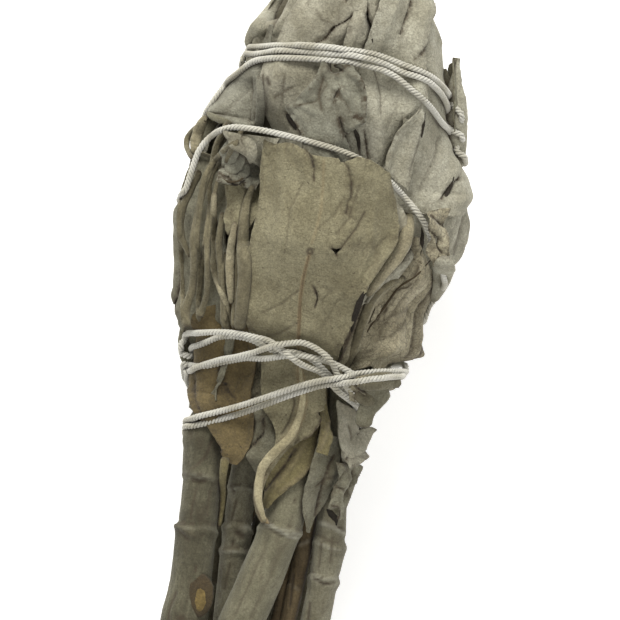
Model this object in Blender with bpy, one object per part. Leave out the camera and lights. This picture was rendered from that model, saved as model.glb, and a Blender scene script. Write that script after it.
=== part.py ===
"""Sage smudge stick: dried white sage leaves packed round their cut stems and bound with cotton twine.

Lengths are millimetres, turned to metres as each mesh is made. The stick lies along +Y, leaf tips at +Y and
cut stems at -Y, with +Z up and +X to the right as seen from above. Every leaf is drawn flat as a left and a
right edge, laid on what is already there, and given its thickness, so no two pieces share any space.
Angles run round the stick from 0 at the top (+Z) towards +X.
"""

import math

import bpy
import numpy as np

# Driving dimensions
LEAF = 0.7
GAP = 0.24
TWINE_R = 0.68
TWINE_GAP = 0.24
STEM_END = -60.0
AXIS_AT_END = 9.0
AXIS_SLOPE = 0.142
SHIFT_X = 0.5
SHIFT_Y = 1.705

# Half width of the stick seen from above, and its depth as a share of its width, along the stick
HALF_WIDTH = [(-62, 13.0), (-50, 13.0), (-38, 13.5), (-30, 13.3), (-22, 14.7), (-16, 15.0), (-12, 16.8),
              (-7, 18.9), (-2, 19.4), (3, 21.2), (9, 22.6), (14.5, 23.8), (20, 22.7), (27, 21.8), (34, 19.9),
              (40, 17.6), (46, 16.1), (52, 13.2), (58, 9), (64, 6)]
DEPTH = [(-62, 0.84), (0, 0.84), (10, 0.9), (22, 0.9), (40, 0.88), (64, 0.9)]
DEPTH_BELOW = [(-62, 0.84), (-20, 0.84), (-12, 0.73), (-2, 0.73), (8, 0.78), (20, 0.8), (40, 0.84), (64, 0.84)]

# Cells of the height map: radius of the outermost surface so far, by angle and by distance along the stick
CELL_A = 2.0
CELL_Y = 0.8
Y_LOW = -66.0
Y_HIGH = 66.0
N_A = int(360 / CELL_A)
N_Y = int(round((Y_HIGH - Y_LOW) / CELL_Y)) + 1


def table(rows, y):
    """Value of a hand-made table of (distance along, value) rows."""
    return np.interp(y, [row[0] for row in rows], [row[1] for row in rows])


def outline_radius(angle, y):
    """Radius of the stick's oval section, which is flatter below."""
    a = np.radians(angle)
    wide = table(HALF_WIDTH, y)
    deep = wide * np.where(np.cos(a) > 0, table(DEPTH, y), table(DEPTH_BELOW, y))
    return 1 / np.sqrt((np.sin(a) / wide) ** 2 + (np.cos(a) / deep) ** 2)


def axis_height(y):
    return AXIS_AT_END + AXIS_SLOPE * (np.asarray(y, float) - STEM_END)


def place(angle, y, radius):
    """Points in millimetres from angle, distance along and radius."""
    a = np.radians(angle)
    x = radius * np.sin(a) + SHIFT_X
    z = axis_height(y) + radius * np.cos(a)
    return np.stack(np.broadcast_arrays(x, np.asarray(y, float) + SHIFT_Y, z), -1)


heights = np.full((N_A, N_Y), 1.5)
making = False


def cell(angle, y):
    i = np.floor(np.mod(angle, 360) / CELL_A).astype(int) % N_A
    j = np.clip(np.round((np.asarray(y) - Y_LOW) / CELL_Y).astype(int), 0, N_Y - 1)
    return i, j


def raise_cells(angle, y, radius):
    """Raise the height map to these samples, one cell wider on every side."""
    i, j = cell(angle, y)
    for di in (-1, 0, 1):
        for dj in (-1, 0, 1):
            np.maximum.at(heights, ((i + di) % N_A, np.clip(j + dj, 0, N_Y - 1)), radius)


def highest_near(values, angle_reach, y_reach):
    """The same map where each cell holds the highest value within reach of it."""
    wide = values.copy()
    for k in range(1, int(math.ceil(angle_reach / CELL_A)) + 1):
        wide = np.maximum(wide, np.maximum(np.roll(values, k, 0), np.roll(values, -k, 0)))
    out = wide.copy()
    for k in range(1, int(math.ceil(y_reach / CELL_Y)) + 1):
        out[:, k:] = np.maximum(out[:, k:], wide[:, :-k])
        out[:, :-k] = np.maximum(out[:, :-k], wide[:, k:])
    return out


def sheet_samples(angle, along):
    """Close points all over a grid's triangles, as (three vertex numbers, three weights) for each."""
    rows, cols = angle.shape
    local = np.radians(1) * outline_radius(angle, along)
    across = (np.abs(np.diff(angle, axis=1)) * local[:, 1:]).max() + np.abs(np.diff(along, axis=1)).max()
    down = (np.abs(np.diff(angle, axis=0)) * local[1:]).max() + np.abs(np.diff(along, axis=0)).max()
    count = int(np.clip(math.ceil(max(across, down) / 0.6), 5, 14))
    u, v = (q.ravel() for q in np.meshgrid(np.linspace(0, 1, count), np.linspace(0, 1, count)))
    near = v >= u
    weight = np.stack([np.where(near, 1 - v, 1 - u), np.where(near, v - u, u - v), np.where(near, u, v)], -1)
    i, j = (q.ravel() for q in np.meshgrid(np.arange(rows - 1), np.arange(cols - 1)))
    a = i * cols + j
    number = np.stack([np.broadcast_to(a[:, None], (len(a), len(u))),
                       np.where(near[None], (a + 1)[:, None], (a + cols)[:, None]),
                       np.broadcast_to((a + cols + 1)[:, None], (len(a), len(u)))], -1)
    return number.reshape(-1, 3), np.tile(weight, (len(a), 1))


def make_object(name, points, faces, colour, rough=0.9):
    if not making:
        return
    corner = np.asarray(points)[np.array(faces)]
    if np.einsum("ij,ij->i", corner[:, 0], np.cross(corner[:, 1], corner[:, 2])).sum() < 0:
        faces = [f[::-1] for f in faces]
    mesh = bpy.data.meshes.new(name)
    mesh.from_pydata([tuple(p * 0.001) for p in points], [], faces)
    mesh.validate()
    mesh.update()
    obj = bpy.data.objects.new(name, mesh)
    bpy.context.scene.collection.objects.link(obj)
    material = bpy.data.materials.new(name + "_look")
    material.use_nodes = True
    shader = material.node_tree.nodes["Principled BSDF"]
    shader.inputs["Base Color"].default_value = (*colour, 1)
    shader.inputs["Roughness"].default_value = rough
    mesh.materials.append(material)
    return obj


def sheet_faces(rows, cols):
    """Triangles of a closed sheet: top points first, then bottom points, both row by row."""
    under = rows * cols
    faces = []
    for i in range(rows - 1):
        for j in range(cols - 1):
            a, b = i * cols + j, i * cols + j + 1
            c, d = a + cols, b + cols
            faces += [(a, b, d), (a, d, c), (under + a, under + d, under + b), (under + a, under + c, under + d)]
    rim = [j for j in range(cols)] + [i * cols + cols - 1 for i in range(1, rows)]
    rim += [(rows - 1) * cols + j for j in range(cols - 2, -1, -1)] + [i * cols for i in range(rows - 2, 0, -1)]
    for p, q in zip(rim, rim[1:] + rim[:1]):
        faces += [(p, under + p, under + q), (p, under + q, q)]
    return faces


def tube_faces(rings, sides):
    faces = []
    for i in range(rings - 1):
        for j in range(sides):
            a, b = i * sides + j, i * sides + (j + 1) % sides
            c, d = a + sides, b + sides
            faces += [(a, b, d), (a, d, c)]
    last = (rings - 1) * sides
    for j in range(1, sides - 1):
        faces += [(0, j + 1, j), (last, last + j, last + j + 1)]
    return faces


def drawn_angle(x, y, facing, inset=1.0):
    """Angle round the stick of a point drawn as seen from the facing angle, for a surface that lies at the
    inset share of the outline radius. What is drawn past the edge wraps on round."""
    wide, deep = outline_radius(facing + 90, y), outline_radius(facing, y)
    share = np.asarray(x) / wide
    near_edge = np.clip((np.abs(share) - 0.3) / 0.65, 0, 1)
    near_edge = near_edge ** 2 * (3 - 2 * near_edge)
    share = share / (inset + (1 - inset) * near_edge)
    part = np.clip(share, -1, 1)
    inside = np.degrees(np.arctan2(part * wide, deep * np.sqrt(1 - part ** 2)))
    return facing + inside + 60 * np.sign(share) * np.maximum(np.abs(share) - 1, 0)


def along_edge(points, count):
    """Evenly spaced points on a smooth line through hand-drawn points."""
    p = np.array(points, float)
    ext = np.vstack([2 * p[0] - p[1], p, 2 * p[-1] - p[-2]])
    line = []
    for k in range(len(p) - 1):
        a, b, c, d = ext[k:k + 4]
        for t in np.linspace(0, 1, 9)[:-1]:
            line.append(0.5 * (2 * b + (c - a) * t + (2 * a - 5 * b + 4 * c - d) * t ** 2
                               + (3 * b - a - 3 * c + d) * t ** 3))
    line = np.array(line + [p[-1]])
    step = np.r_[0, np.cumsum(np.linalg.norm(np.diff(line, axis=0), axis=1))]
    even = np.linspace(0, step[-1], count)
    return np.interp(even, step, line[:, 0]), np.interp(even, step, line[:, 1])


def calm(values):
    """The values with every one averaged with its neighbours, twice."""
    for _ in range(2):
        pad = np.pad(values, 1, mode="edge")
        values = (pad[:-2] + 2 * pad[1:-1] + pad[2:]) / 4
    return values


def settle(angle, along, number, weight, floor, relax):
    """Radii of a grid's points so that its triangles lie smoothly on the floor under them, never below it."""
    seat = heights[cell(angle, along)].astype(float)
    for turn_no in range(relax + 1):
        if turn_no:
            pad = np.pad(seat, 1, mode="edge")
            seat = 0.5 * seat + 0.125 * (pad[:-2, 1:-1] + pad[2:, 1:-1] + pad[1:-1, :-2] + pad[1:-1, 2:])
        for _ in range(30 if turn_no == relax else 6):
            short = floor - (seat.ravel()[number] * weight).sum(1)
            if short.max() < 0.01:
                break
            over = short > 0
            push = np.zeros(seat.size)
            share = weight[over] / (weight[over] ** 2).sum(1)[:, None]
            np.maximum.at(push, number[over], short[over][:, None] * share)
            seat = seat + push.reshape(seat.shape)
    return seat


PLACINGS = 2
LEAF_COLOUR = (0.27, 0.26, 0.19)
DRY_COLOUR = (0.24, 0.2, 0.12)


def leaf(name, left, right, facing=0, rows=10, cols=4, thick=LEAF, round_top=0.0, fold=0.0,
         edge_lift=0.0, tip_lift=0.0, ragged=0.25, relax=3, flat=None, colour=LEAF_COLOUR):
    """One leaf between two edges drawn from root to tip, laid on the height map and then added to it."""
    rng = np.random.default_rng(sum(map(ord, name)))
    x0, y0 = along_edge(left, rows)
    x1, y1 = along_edge(right, rows)
    x0, x1 = (x + rng.uniform(-1, 1, rows) * ragged for x in (x0, x1))
    t = np.linspace(0, 1, cols)[None]
    along = y0[:, None] * (1 - t) + y1[:, None] * t
    along[0] += rng.uniform(-1, 1, cols) * ragged
    along[-1] += rng.uniform(-1, 1, cols) * ragged
    high = None
    for _ in range(PLACINGS):
        # The drawn offsets become angles at the radius where each edge lies, which laying it finds out
        if high is None:
            inset0, inset1 = 1, 1
        else:
            inset0 = calm(high[:, 0] / outline_radius(a0, y0)).clip(0.84, 1.05)
            inset1 = calm(high[:, -1] / outline_radius(a1, y1)).clip(0.84, 1.05)
        a0, a1 = drawn_angle(x0, y0, facing, inset0), drawn_angle(x1, y1, facing, inset1)
        angle = a0[:, None] * (1 - t) + a1[:, None] * t
        number, weight = sheet_samples(angle, along)
        spot_a = (angle.ravel()[number] * weight).sum(1)
        spot_y = (along.ravel()[number] * weight).sum(1)
        seat = settle(angle, along, number, weight, heights[cell(spot_a, spot_y)], relax)
        column = np.radians(np.abs(np.diff(angle, axis=1)).max())
        gap = GAP + column ** 2 * seat.mean() / 8
        across = np.abs(2 * t - 1)
        up = np.linspace(0, 1, rows)[:, None]
        low = seat + gap + fold * (1 - across) + edge_lift * across ** 3 + tip_lift * up ** 4
        high = low + thick + round_top * (1 - across ** 2)
    if flat and making:
        reach_x, y_from, y_to = flat
        top = place(angle, along, high)
        on = (np.abs(top[..., 0]) < reach_x) & (along > y_from) & (along < y_to)
        ground = -axis_height(along) / np.cos(np.radians(angle))
        high = np.where(on, ground, high)
    points = np.vstack([place(angle, along, high).reshape(-1, 3), place(angle, along, low).reshape(-1, 3)])
    faces = sheet_faces(rows, cols)
    make_object(name, points, faces, colour)
    raise_cells(spot_a, spot_y, (high.ravel()[number] * weight).sum(1))


# Stems: rows of distance along, offset to the right, height over the axis and radius
STEMS = {
    "stem_left": [(-61, -9.9, 2.6, 3.9), (-51, -9.9, 2.6, 3.8), (-48.5, -9.8, 2.6, 3.6), (-46, -9.9, 2.6, 3.4),
                  (-39, -10.4, 2.6, 3.35), (-37.6, -10.5, 2.6, 3.6), (-37, -10.4, 2.6, 3.15),
                  (-30, -11.0, 2.6, 2.95), (-29.2, -11.1, 2.7, 3.1), (-24, -11.4, 2.7, 3.0),
                  (-16, -11.4, 2.7, 2.9), (-5, -11, 2.7, 2.8)],
    "stem_inner_left": [(-59.5, -2.6, -1.5, 2.3), (-41, -3.8, -1.2, 2.35), (-40, -3.9, -1.1, 2.6),
                        (-39.2, -3.9, -1.1, 2.3), (-36.4, -4.0, -0.9, 2.6), (-35.4, -4.1, -0.9, 2.25),
                        (-30.4, -4.4, -0.6, 2.2), (-29.8, -4.5, -0.6, 2.4), (-28, -4.6, -0.5, 2.1),
                        (-16, -5, 0, 2.0), (-6, -5, 0, 2.0)],
    "stem_front": [(-60.5, -2.9, 5.3, 3.8), (-50, -0.6, 5.3, 3.75), (-44, 0.9, 5.3, 3.7), (-38, 2.2, 5.3, 3.5),
                   (-36, 2.6, 5.3, 3.55), (-35.2, 2.8, 5.3, 3.75), (-34.4, 2.9, 5.3, 3.4), (-28, 3.4, 5.0, 3.3),
                   (-20, 3.6, 5.0, 3.1), (-5, 3.4, 5.0, 3.0)],
    "stem_thin": [(-58.5, 6.3, 0.6, 1.3), (-48, 6.5, 0.8, 1.4), (-40, 6.9, 1.0, 1.4), (-30, 7.0, 1.0, 1.3),
                  (-16, 7.0, 0.6, 1.2)],
    "stem_right": [(-61.5, 10.7, 2.4, 2.6), (-50, 10.8, 2.4, 2.4), (-43.5, 10.9, 2.4, 2.4), (-42.2, 11.0, 2.4, 2.7),
                   (-41.2, 11.0, 2.4, 2.4), (-38, 11.0, 2.4, 2.6), (-36.5, 11.0, 2.4, 2.8), (-35, 10.8, 2.4, 2.5),
                   (-26, 10.8, 2.4, 2.4), (-16, 10.8, 2.4, 2.3), (-5, 10.5, 2.4, 2.2)],
    "stem_back_left": [(-60, -6.4, -6.285, 2.85), (-47, -6.5, -6.0, 2.75), (-45.8, -6.5, -6.0, 3.1),
                       (-44.8, -6.5, -6.0, 2.75), (-30, -6.9, -5.7, 2.7), (-16, -7.2, -5.5, 2.6),
                       (-5, -7.2, -5.5, 2.5)],
    "stem_back_middle": [(-62, 1.4, -5.4, 3.0), (-53, 1.4, -5.4, 3.0), (-51.8, 1.4, -5.4, 3.3),
                         (-50.8, 1.3, -5.4, 3.0), (-36, 1.0, -5.5, 2.9), (-16, 0.8, -5.7, 2.8),
                         (-5, 0.8, -5.7, 2.7)],
    "stem_back_right": [(-60, 7.9, -6.43, 2.7), (-41, 8.0, -6.0, 2.6), (-39.9, 8.0, -6.0, 2.95),
                        (-38.9, 8.0, -6.0, 2.6), (-28, 8.0, -5.7, 2.6), (-16, 8.0, -5.5, 2.5),
                        (-5, 8.0, -5.5, 2.4)],
}
GATHER = [(-24, 1.0), (-17, 0.86), (-11, 0.76), (-5, 0.66)]
STEM_SIDES = 10


def stem_rows(rows):
    """Stem rows with the stems drawn together where they run into the leaves."""
    y, x, z, r = (np.array(c, float) for c in zip(*rows))
    extra = np.array([q for q in (-20, -12, -8) if y.min() < q < y.max()])
    every = np.unique(np.r_[y, extra])
    share = table(GATHER, every)
    return every, np.interp(every, y, x) * share, np.interp(every, y, z) * share, np.interp(every, y, r) * share


grid_y = Y_LOW + CELL_Y * np.arange(N_Y)
grid_a = (np.arange(N_A) + 0.5) * CELL_A


def lay_stems():
    turn = 2 * math.pi * (np.arange(STEM_SIDES) + 0.5) / STEM_SIDES
    ring = np.stack([np.sin(turn), np.zeros(STEM_SIDES), np.cos(turn)], -1)
    a = np.radians(grid_a)[:, None]
    for name, rows in STEMS.items():
        ys, xs, zs, rs = stem_rows(rows)
        centre = np.stack([xs + SHIFT_X, ys + SHIFT_Y, axis_height(ys) + zs], -1)
        points = (centre[:, None] + ring[None] * rs[:, None, None]).reshape(-1, 3)
        make_object(name, points, tube_faces(len(ys), STEM_SIDES), (0.2, 0.18, 0.12), 0.85)
        inside = (grid_y > ys[0] - 1) & (grid_y < ys[-1] + 1)
        cx, cz, cr = (np.interp(grid_y, ys, q) for q in (xs, zs, rs))
        reach = cx * np.sin(a) + cz * np.cos(a)
        spare = cr ** 2 - (cx ** 2 + cz ** 2 - reach ** 2)
        edge = np.where((spare > 0) & inside[None], reach + np.sqrt(np.maximum(spare, 0)), 0)
        edge = np.maximum(edge, np.maximum(np.roll(edge, 1, 0), np.roll(edge, -1, 0)))
        heights[:] = np.maximum(heights, edge)


# Leaves dried stretched across the gaps between the stems, so there the floor under them is pulled taut
BRIDGED = [(-30, 0), (-25, 1), (-2, 1), (3, 0)]


def bridge_stems():
    a = np.radians(grid_a)
    lean = np.cos(a[:, None] - a[None])
    for j, share in enumerate(table(BRIDGED, grid_y)):
        if share > 0:
            furthest = (heights[:, j] * lean).max(1)
            taut = np.where(lean > 0.05, furthest[None] / np.maximum(lean, 0.05), 1e9).min(1)
            heights[:, j] += share * (taut - heights[:, j])


# Inner leaves: a packed body of folded leaves, pleated more deeply towards the tips. It is set back under
# the outline by as much as the leaves laid on it add, which the first rounds of laying find out
CORE_SIDES = 32
CORE_ROWS = np.r_[np.linspace(-3.5, 44, 13), 48, 52, 55.5]
setback = np.full((N_A, N_Y), 3.5)
ROUNDS = 7


def lay_core():
    rng = np.random.default_rng(4)
    start = np.arange(CORE_SIDES) * 360 / CORE_SIDES
    pleat = rng.uniform(-1, 1, CORE_SIDES)
    points = []
    for k, y in enumerate(CORE_ROWS):
        depth = 0.4 + 1.1 * max(0, (y - 20) / 35)
        angle = start + 0.25 * (y - 20)
        body = outline_radius(angle, y) - setback[cell(angle, np.full(CORE_SIDES, y))]
        body = body * np.interp(y, [-3.5, 1, 44, 52, 55.5], [0.88, 1, 1, 0.85, 0.55])
        radius = np.maximum(body + depth * (np.where(np.arange(CORE_SIDES) % 2, 0.6, -0.6) + 0.5 * pleat), 1.6)
        points.append(place(angle, y, radius))
        if k:
            for f in np.linspace(0, 1, 8):
                for g in np.linspace(0, 1, 9):
                    low, high = (q * (1 - f) + np.roll(q, -1) * f for q in (below, radius))
                    raise_cells(angle + f * 360 / CORE_SIDES, CORE_ROWS[k - 1] * (1 - g) + y * g + 0 * low,
                                low * (1 - g) + high * g)
        below = radius
    make_object("inner_leaves", np.vstack(points), tube_faces(len(CORE_ROWS), CORE_SIDES), (0.2, 0.19, 0.13))


# Twine: one length wound round and round. Each turn is (name, points seen from the front as offset to the
# right and distance along, points round the back as angle and distance along)
TURNS = [
    ("lead", [], [(232, -16.4), (248, -15.4), (262, -14)]),
    ("low_third", [(-16.9, -12.3), (-14, -11.4), (-11, -9.9), (-8, -9.1), (-5, -8.8), (-2, -8.2), (1, -7.7),
                   (4, -7.3), (7, -7.7), (9.5, -8.9), (12.6, -10.4), (16, -11.6)],
     [(115, -12.4), (150, -12), (180, -11.6), (225, -10.2), (255, -9)]),
    ("low_first", [(-17.2, -8.4), (-15.8, -7.3), (-14, -6.2), (-11, -5.2), (-8, -4.8), (-5, -5.2), (-2, -6.7),
                   (1, -8.4), (4, -9.3), (6.5, -10.5), (9, -12), (11.5, -13.3), (14.2, -15)],
     [(90, -17.3), (130, -19.8), (180, -22), (225, -23.6), (255, -24.2)]),
    ("slant_low", [(-15.1, -23.7), (-12.5, -22), (-10, -20.3), (-5, -17.4), (0, -14.4), (5, -11.6), (10, -9.3),
                   (14, -8.2), (18, -8)],
     [(115, -7.6), (150, -8.8), (185, -7.6), (213, -2.5), (232, 8), (248, 20)]),
    ("top_low", [(-20, 31.3), (-18.5, 33.6), (-17, 35.4), (-15, 36.9), (-12, 38), (-8, 38.8), (-4, 39.3),
                 (0, 39.6), (4, 39.4), (7, 38.8), (10, 37.6), (13, 35.8), (16, 33.4), (19, 30.8), (20.7, 29)],
     [(115, 26.6), (150, 25.4), (185, 27.2), (225, 32.1), (250, 35.4)]),
    ("top_middle", [(-15.6, 38.6), (-12, 39.7), (-8, 40.5), (-4, 40.9), (0, 41.2), (5, 41.1), (9, 40.2),
                    (12, 39), (15, 37), (17.5, 34.8), (19.9, 32.2)],
     [(105, 29.9), (140, 28.4), (180, 29.8), (225, 34.4), (258, 38)]),
    ("top_high", [(-15.6, 40.4), (-13, 41.1), (-10, 41.8), (-5, 42.4), (0, 42.8), (4, 42.9), (7, 42.6), (10, 41.7),
                  (13, 40.3), (16, 38.3), (18.5, 35.9), (20, 33.9)],
     [(105, 32.2), (140, 31.2), (175, 32.6), (205, 31.4), (228, 24), (255, 14.4)]),
    ("middle", [(-22, 15.4), (-21.2, 18.2), (-20, 20.8), (-18.5, 23.5), (-16.5, 25.7), (-14.5, 26.8), (-12, 27.1),
                (-9, 27.05), (-5, 26.8), (0, 26.3), (3.5, 25.7), (6.5, 24.7), (10, 22.8), (13, 20.9),
                (15.5, 19), (17.5, 17), (19.2, 14.6), (20.2, 11), (20.6, 7), (20, 3.5)],
     [(108, 0), (140, -4), (180, -5.6), (225, -8), (255, -9.8)]),
    ("low_second", [(-16.9, -10.3), (-15, -8.9), (-12, -7.3), (-9, -6.5), (-6, -6.6), (-3, -6.9), (0, -6.6), (3, -7.4),
                    (5.5, -8.7), (8, -10.2), (11, -11.9), (14.3, -13.3)],
     [(92, -15), (135, -16.2), (180, -16.8), (225, -17.4), (255, -16.4)]),
    ("low_top", [(-16.2, -14.4), (-14, -13.2), (-11.5, -11.6), (-9, -10), (-7, -8.6), (-4, -6.9), (-1.5, -5.7),
                 (1, -5.1), (3.5, -5.7), (5.5, -7.3), (7, -9.3), (9, -11.3), (11.5, -13.4), (14, -15.6)],
     [(88, -17.6), (135, -19), (180, -19.6), (225, -20.2), (255, -20.8)]),
    ("slant_high", [(-15.3, -21.2), (-12.5, -20), (-10, -18.5), (-5, -15.6), (0, -12.6), (5, -9.8), (10, -7.5),
                    (14, -6.3), (18.3, -6)],
     [(108, -5.6), (128, -6.2), (146, -7)]),
]
STEP = 0.8
TWINE_SIDES = 6
APART = 2 * TWINE_R + TWINE_GAP

inset_at = {}


def smooth_route():
    """Close points along the twine, as (angle, along, name of the stretch)."""
    p, mark = [], []
    for turn_no, (turn_name, front, back) in enumerate(TURNS):
        for px, py in front:
            p.append((360 * turn_no + float(drawn_angle(px, py, 0, inset_at.get((px, py), 1.0))), py))
            mark.append(turn_name)
        for pa, py in back:
            p.append((360 * turn_no + pa, py))
            mark.append(turn_name + "_back")
    p = np.array(p)
    ext = np.vstack([2 * p[0] - p[1], p, 2 * p[-1] - p[-2]])
    found, names = [], []
    for k in range(len(p) - 1):
        a, b, c, d = ext[k:k + 4]
        for t in np.linspace(0, 1, 33)[:-1]:
            found.append(0.5 * (2 * b + (c - a) * t + (2 * a - 5 * b + 4 * c - d) * t ** 2
                                + (3 * b - a - 3 * c + d) * t ** 3))
            names.append(mark[k])
    found = np.array(found)
    flat = np.stack([np.radians(found[:, 0]) * outline_radius(found[:, 0], found[:, 1]), found[:, 1]], 1)
    arc = np.stack([np.diff(np.radians(found[:, 0])) * outline_radius(found[1:, 0], found[1:, 1]),
                    np.diff(flat[:, 1])], 1)
    gone = np.r_[0, np.cumsum(np.linalg.norm(arc, axis=1))]
    even = np.arange(0, gone[-1], STEP)
    pick = np.searchsorted(gone, even, side="right") - 1
    return np.interp(even, gone, found[:, 0]), np.interp(even, gone, found[:, 1]), np.array(names)[pick]


def measure_route():
    """Share of the outline radius at which the twine now passes each point drawn for its front."""
    for turn_name, front, back in TURNS:
        for px, py in front:
            own = np.flatnonzero(twine_part == turn_name)
            x = twine_r[own] * np.sin(np.radians(twine_a[own]))
            k = own[np.hypot(x - px, twine_y[own] - py).argmin()]
            share = twine_r[max(k - 3, 0):k + 4].mean() / outline_radius(twine_a[k], twine_y[k])
            inset_at[px, py] = float(np.clip(share, 0.9, 1.15))




def wind(*names):
    """Pull these stretches of twine tight over the leaves and over the twine that is already laid."""
    own = np.isin(twine_part, names)
    index = np.flatnonzero(own)
    spot = highest_near(heights, 1.5 * CELL_A, 1.5 * CELL_Y)
    least = spot[cell(twine_a[index], twine_y[index])] + TWINE_R + 0.26
    before = np.flatnonzero(laid)
    for n, k in enumerate(index):
        far = before[np.abs(before - k) > 8]
        turn_gap = (twine_a[far] - twine_a[k] + 180) % 360 - 180
        near = far[(np.abs(turn_gap) < 20) & (np.abs(twine_y[far] - twine_y[k]) < 2)]
        if len(near):
            turn_gap = (twine_a[near] - twine_a[k] + 180) % 360 - 180
            off2 = (np.radians(turn_gap) * twine_r[near]) ** 2 + (twine_y[near] - twine_y[k]) ** 2
            close = off2 < APART ** 2
            if close.any():
                least[n] = max(least[n], (twine_r[near[close]] + np.sqrt(APART ** 2 - off2[close])).max())
    twine_r[index] = least
    a = np.radians(twine_a)
    out = np.stack([np.sin(a), np.zeros(len(a)), np.cos(a)], 1)
    groups = np.split(index, np.flatnonzero(np.diff(index) > 1) + 1)
    ready = laid | own
    for _ in range(400):
        for g in groups:
            lo, hi = g[0], g[-1]
            ids = np.arange(lo, hi + 1)
            prev = np.where(ids > 0, ids - 1, 0)
            nxt = np.where(ids < len(a) - 1, ids + 1, len(a) - 1)
            prev = np.where(ready[prev], prev, ids)
            nxt = np.where(ready[nxt], nxt, ids)
            pts = out * twine_r[:, None]
            middle = (pts[prev] + pts[nxt]) / 2
            pull = (middle * out[ids]).sum(1)
            ends = (prev == ids) | (nxt == ids)
            pull = np.where(ends, 0, pull)
            twine_r[ids] = np.maximum(least[np.searchsorted(index, ids)], pull)
    laid[index] = True


def cover_twine(part, from_x, to_x):
    """Add a stretch of twine to the height map, so that the next leaves go over it."""
    a = np.radians(twine_a)
    x = twine_r * np.sin(a)
    on = (twine_part == part) & (x > from_x) & (x < to_x)
    raise_cells(twine_a[on], twine_y[on], twine_r[on] + TWINE_R)


def few_points(pts, slack):
    """Indices of the points to keep so that the line through them strays no more than the slack."""
    keep = np.zeros(len(pts), bool)
    keep[[0, -1]] = True
    spans = [(0, len(pts) - 1)]
    while spans:
        i, j = spans.pop()
        if j - i < 2:
            continue
        chord = pts[j] - pts[i]
        t = np.clip(((pts[i + 1:j] - pts[i]) @ chord) / max(chord @ chord, 1e-9), 0, 1)
        off = np.linalg.norm(pts[i + 1:j] - pts[i] - t[:, None] * chord, axis=1)
        worst = int(off.argmax())
        if off[worst] > slack or j - i > 7:
            k = i + 1 + worst if off[worst] > slack else (i + j) // 2
            keep[k] = True
            spans += [(i, k), (k, j)]
    return np.flatnonzero(keep)


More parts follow.
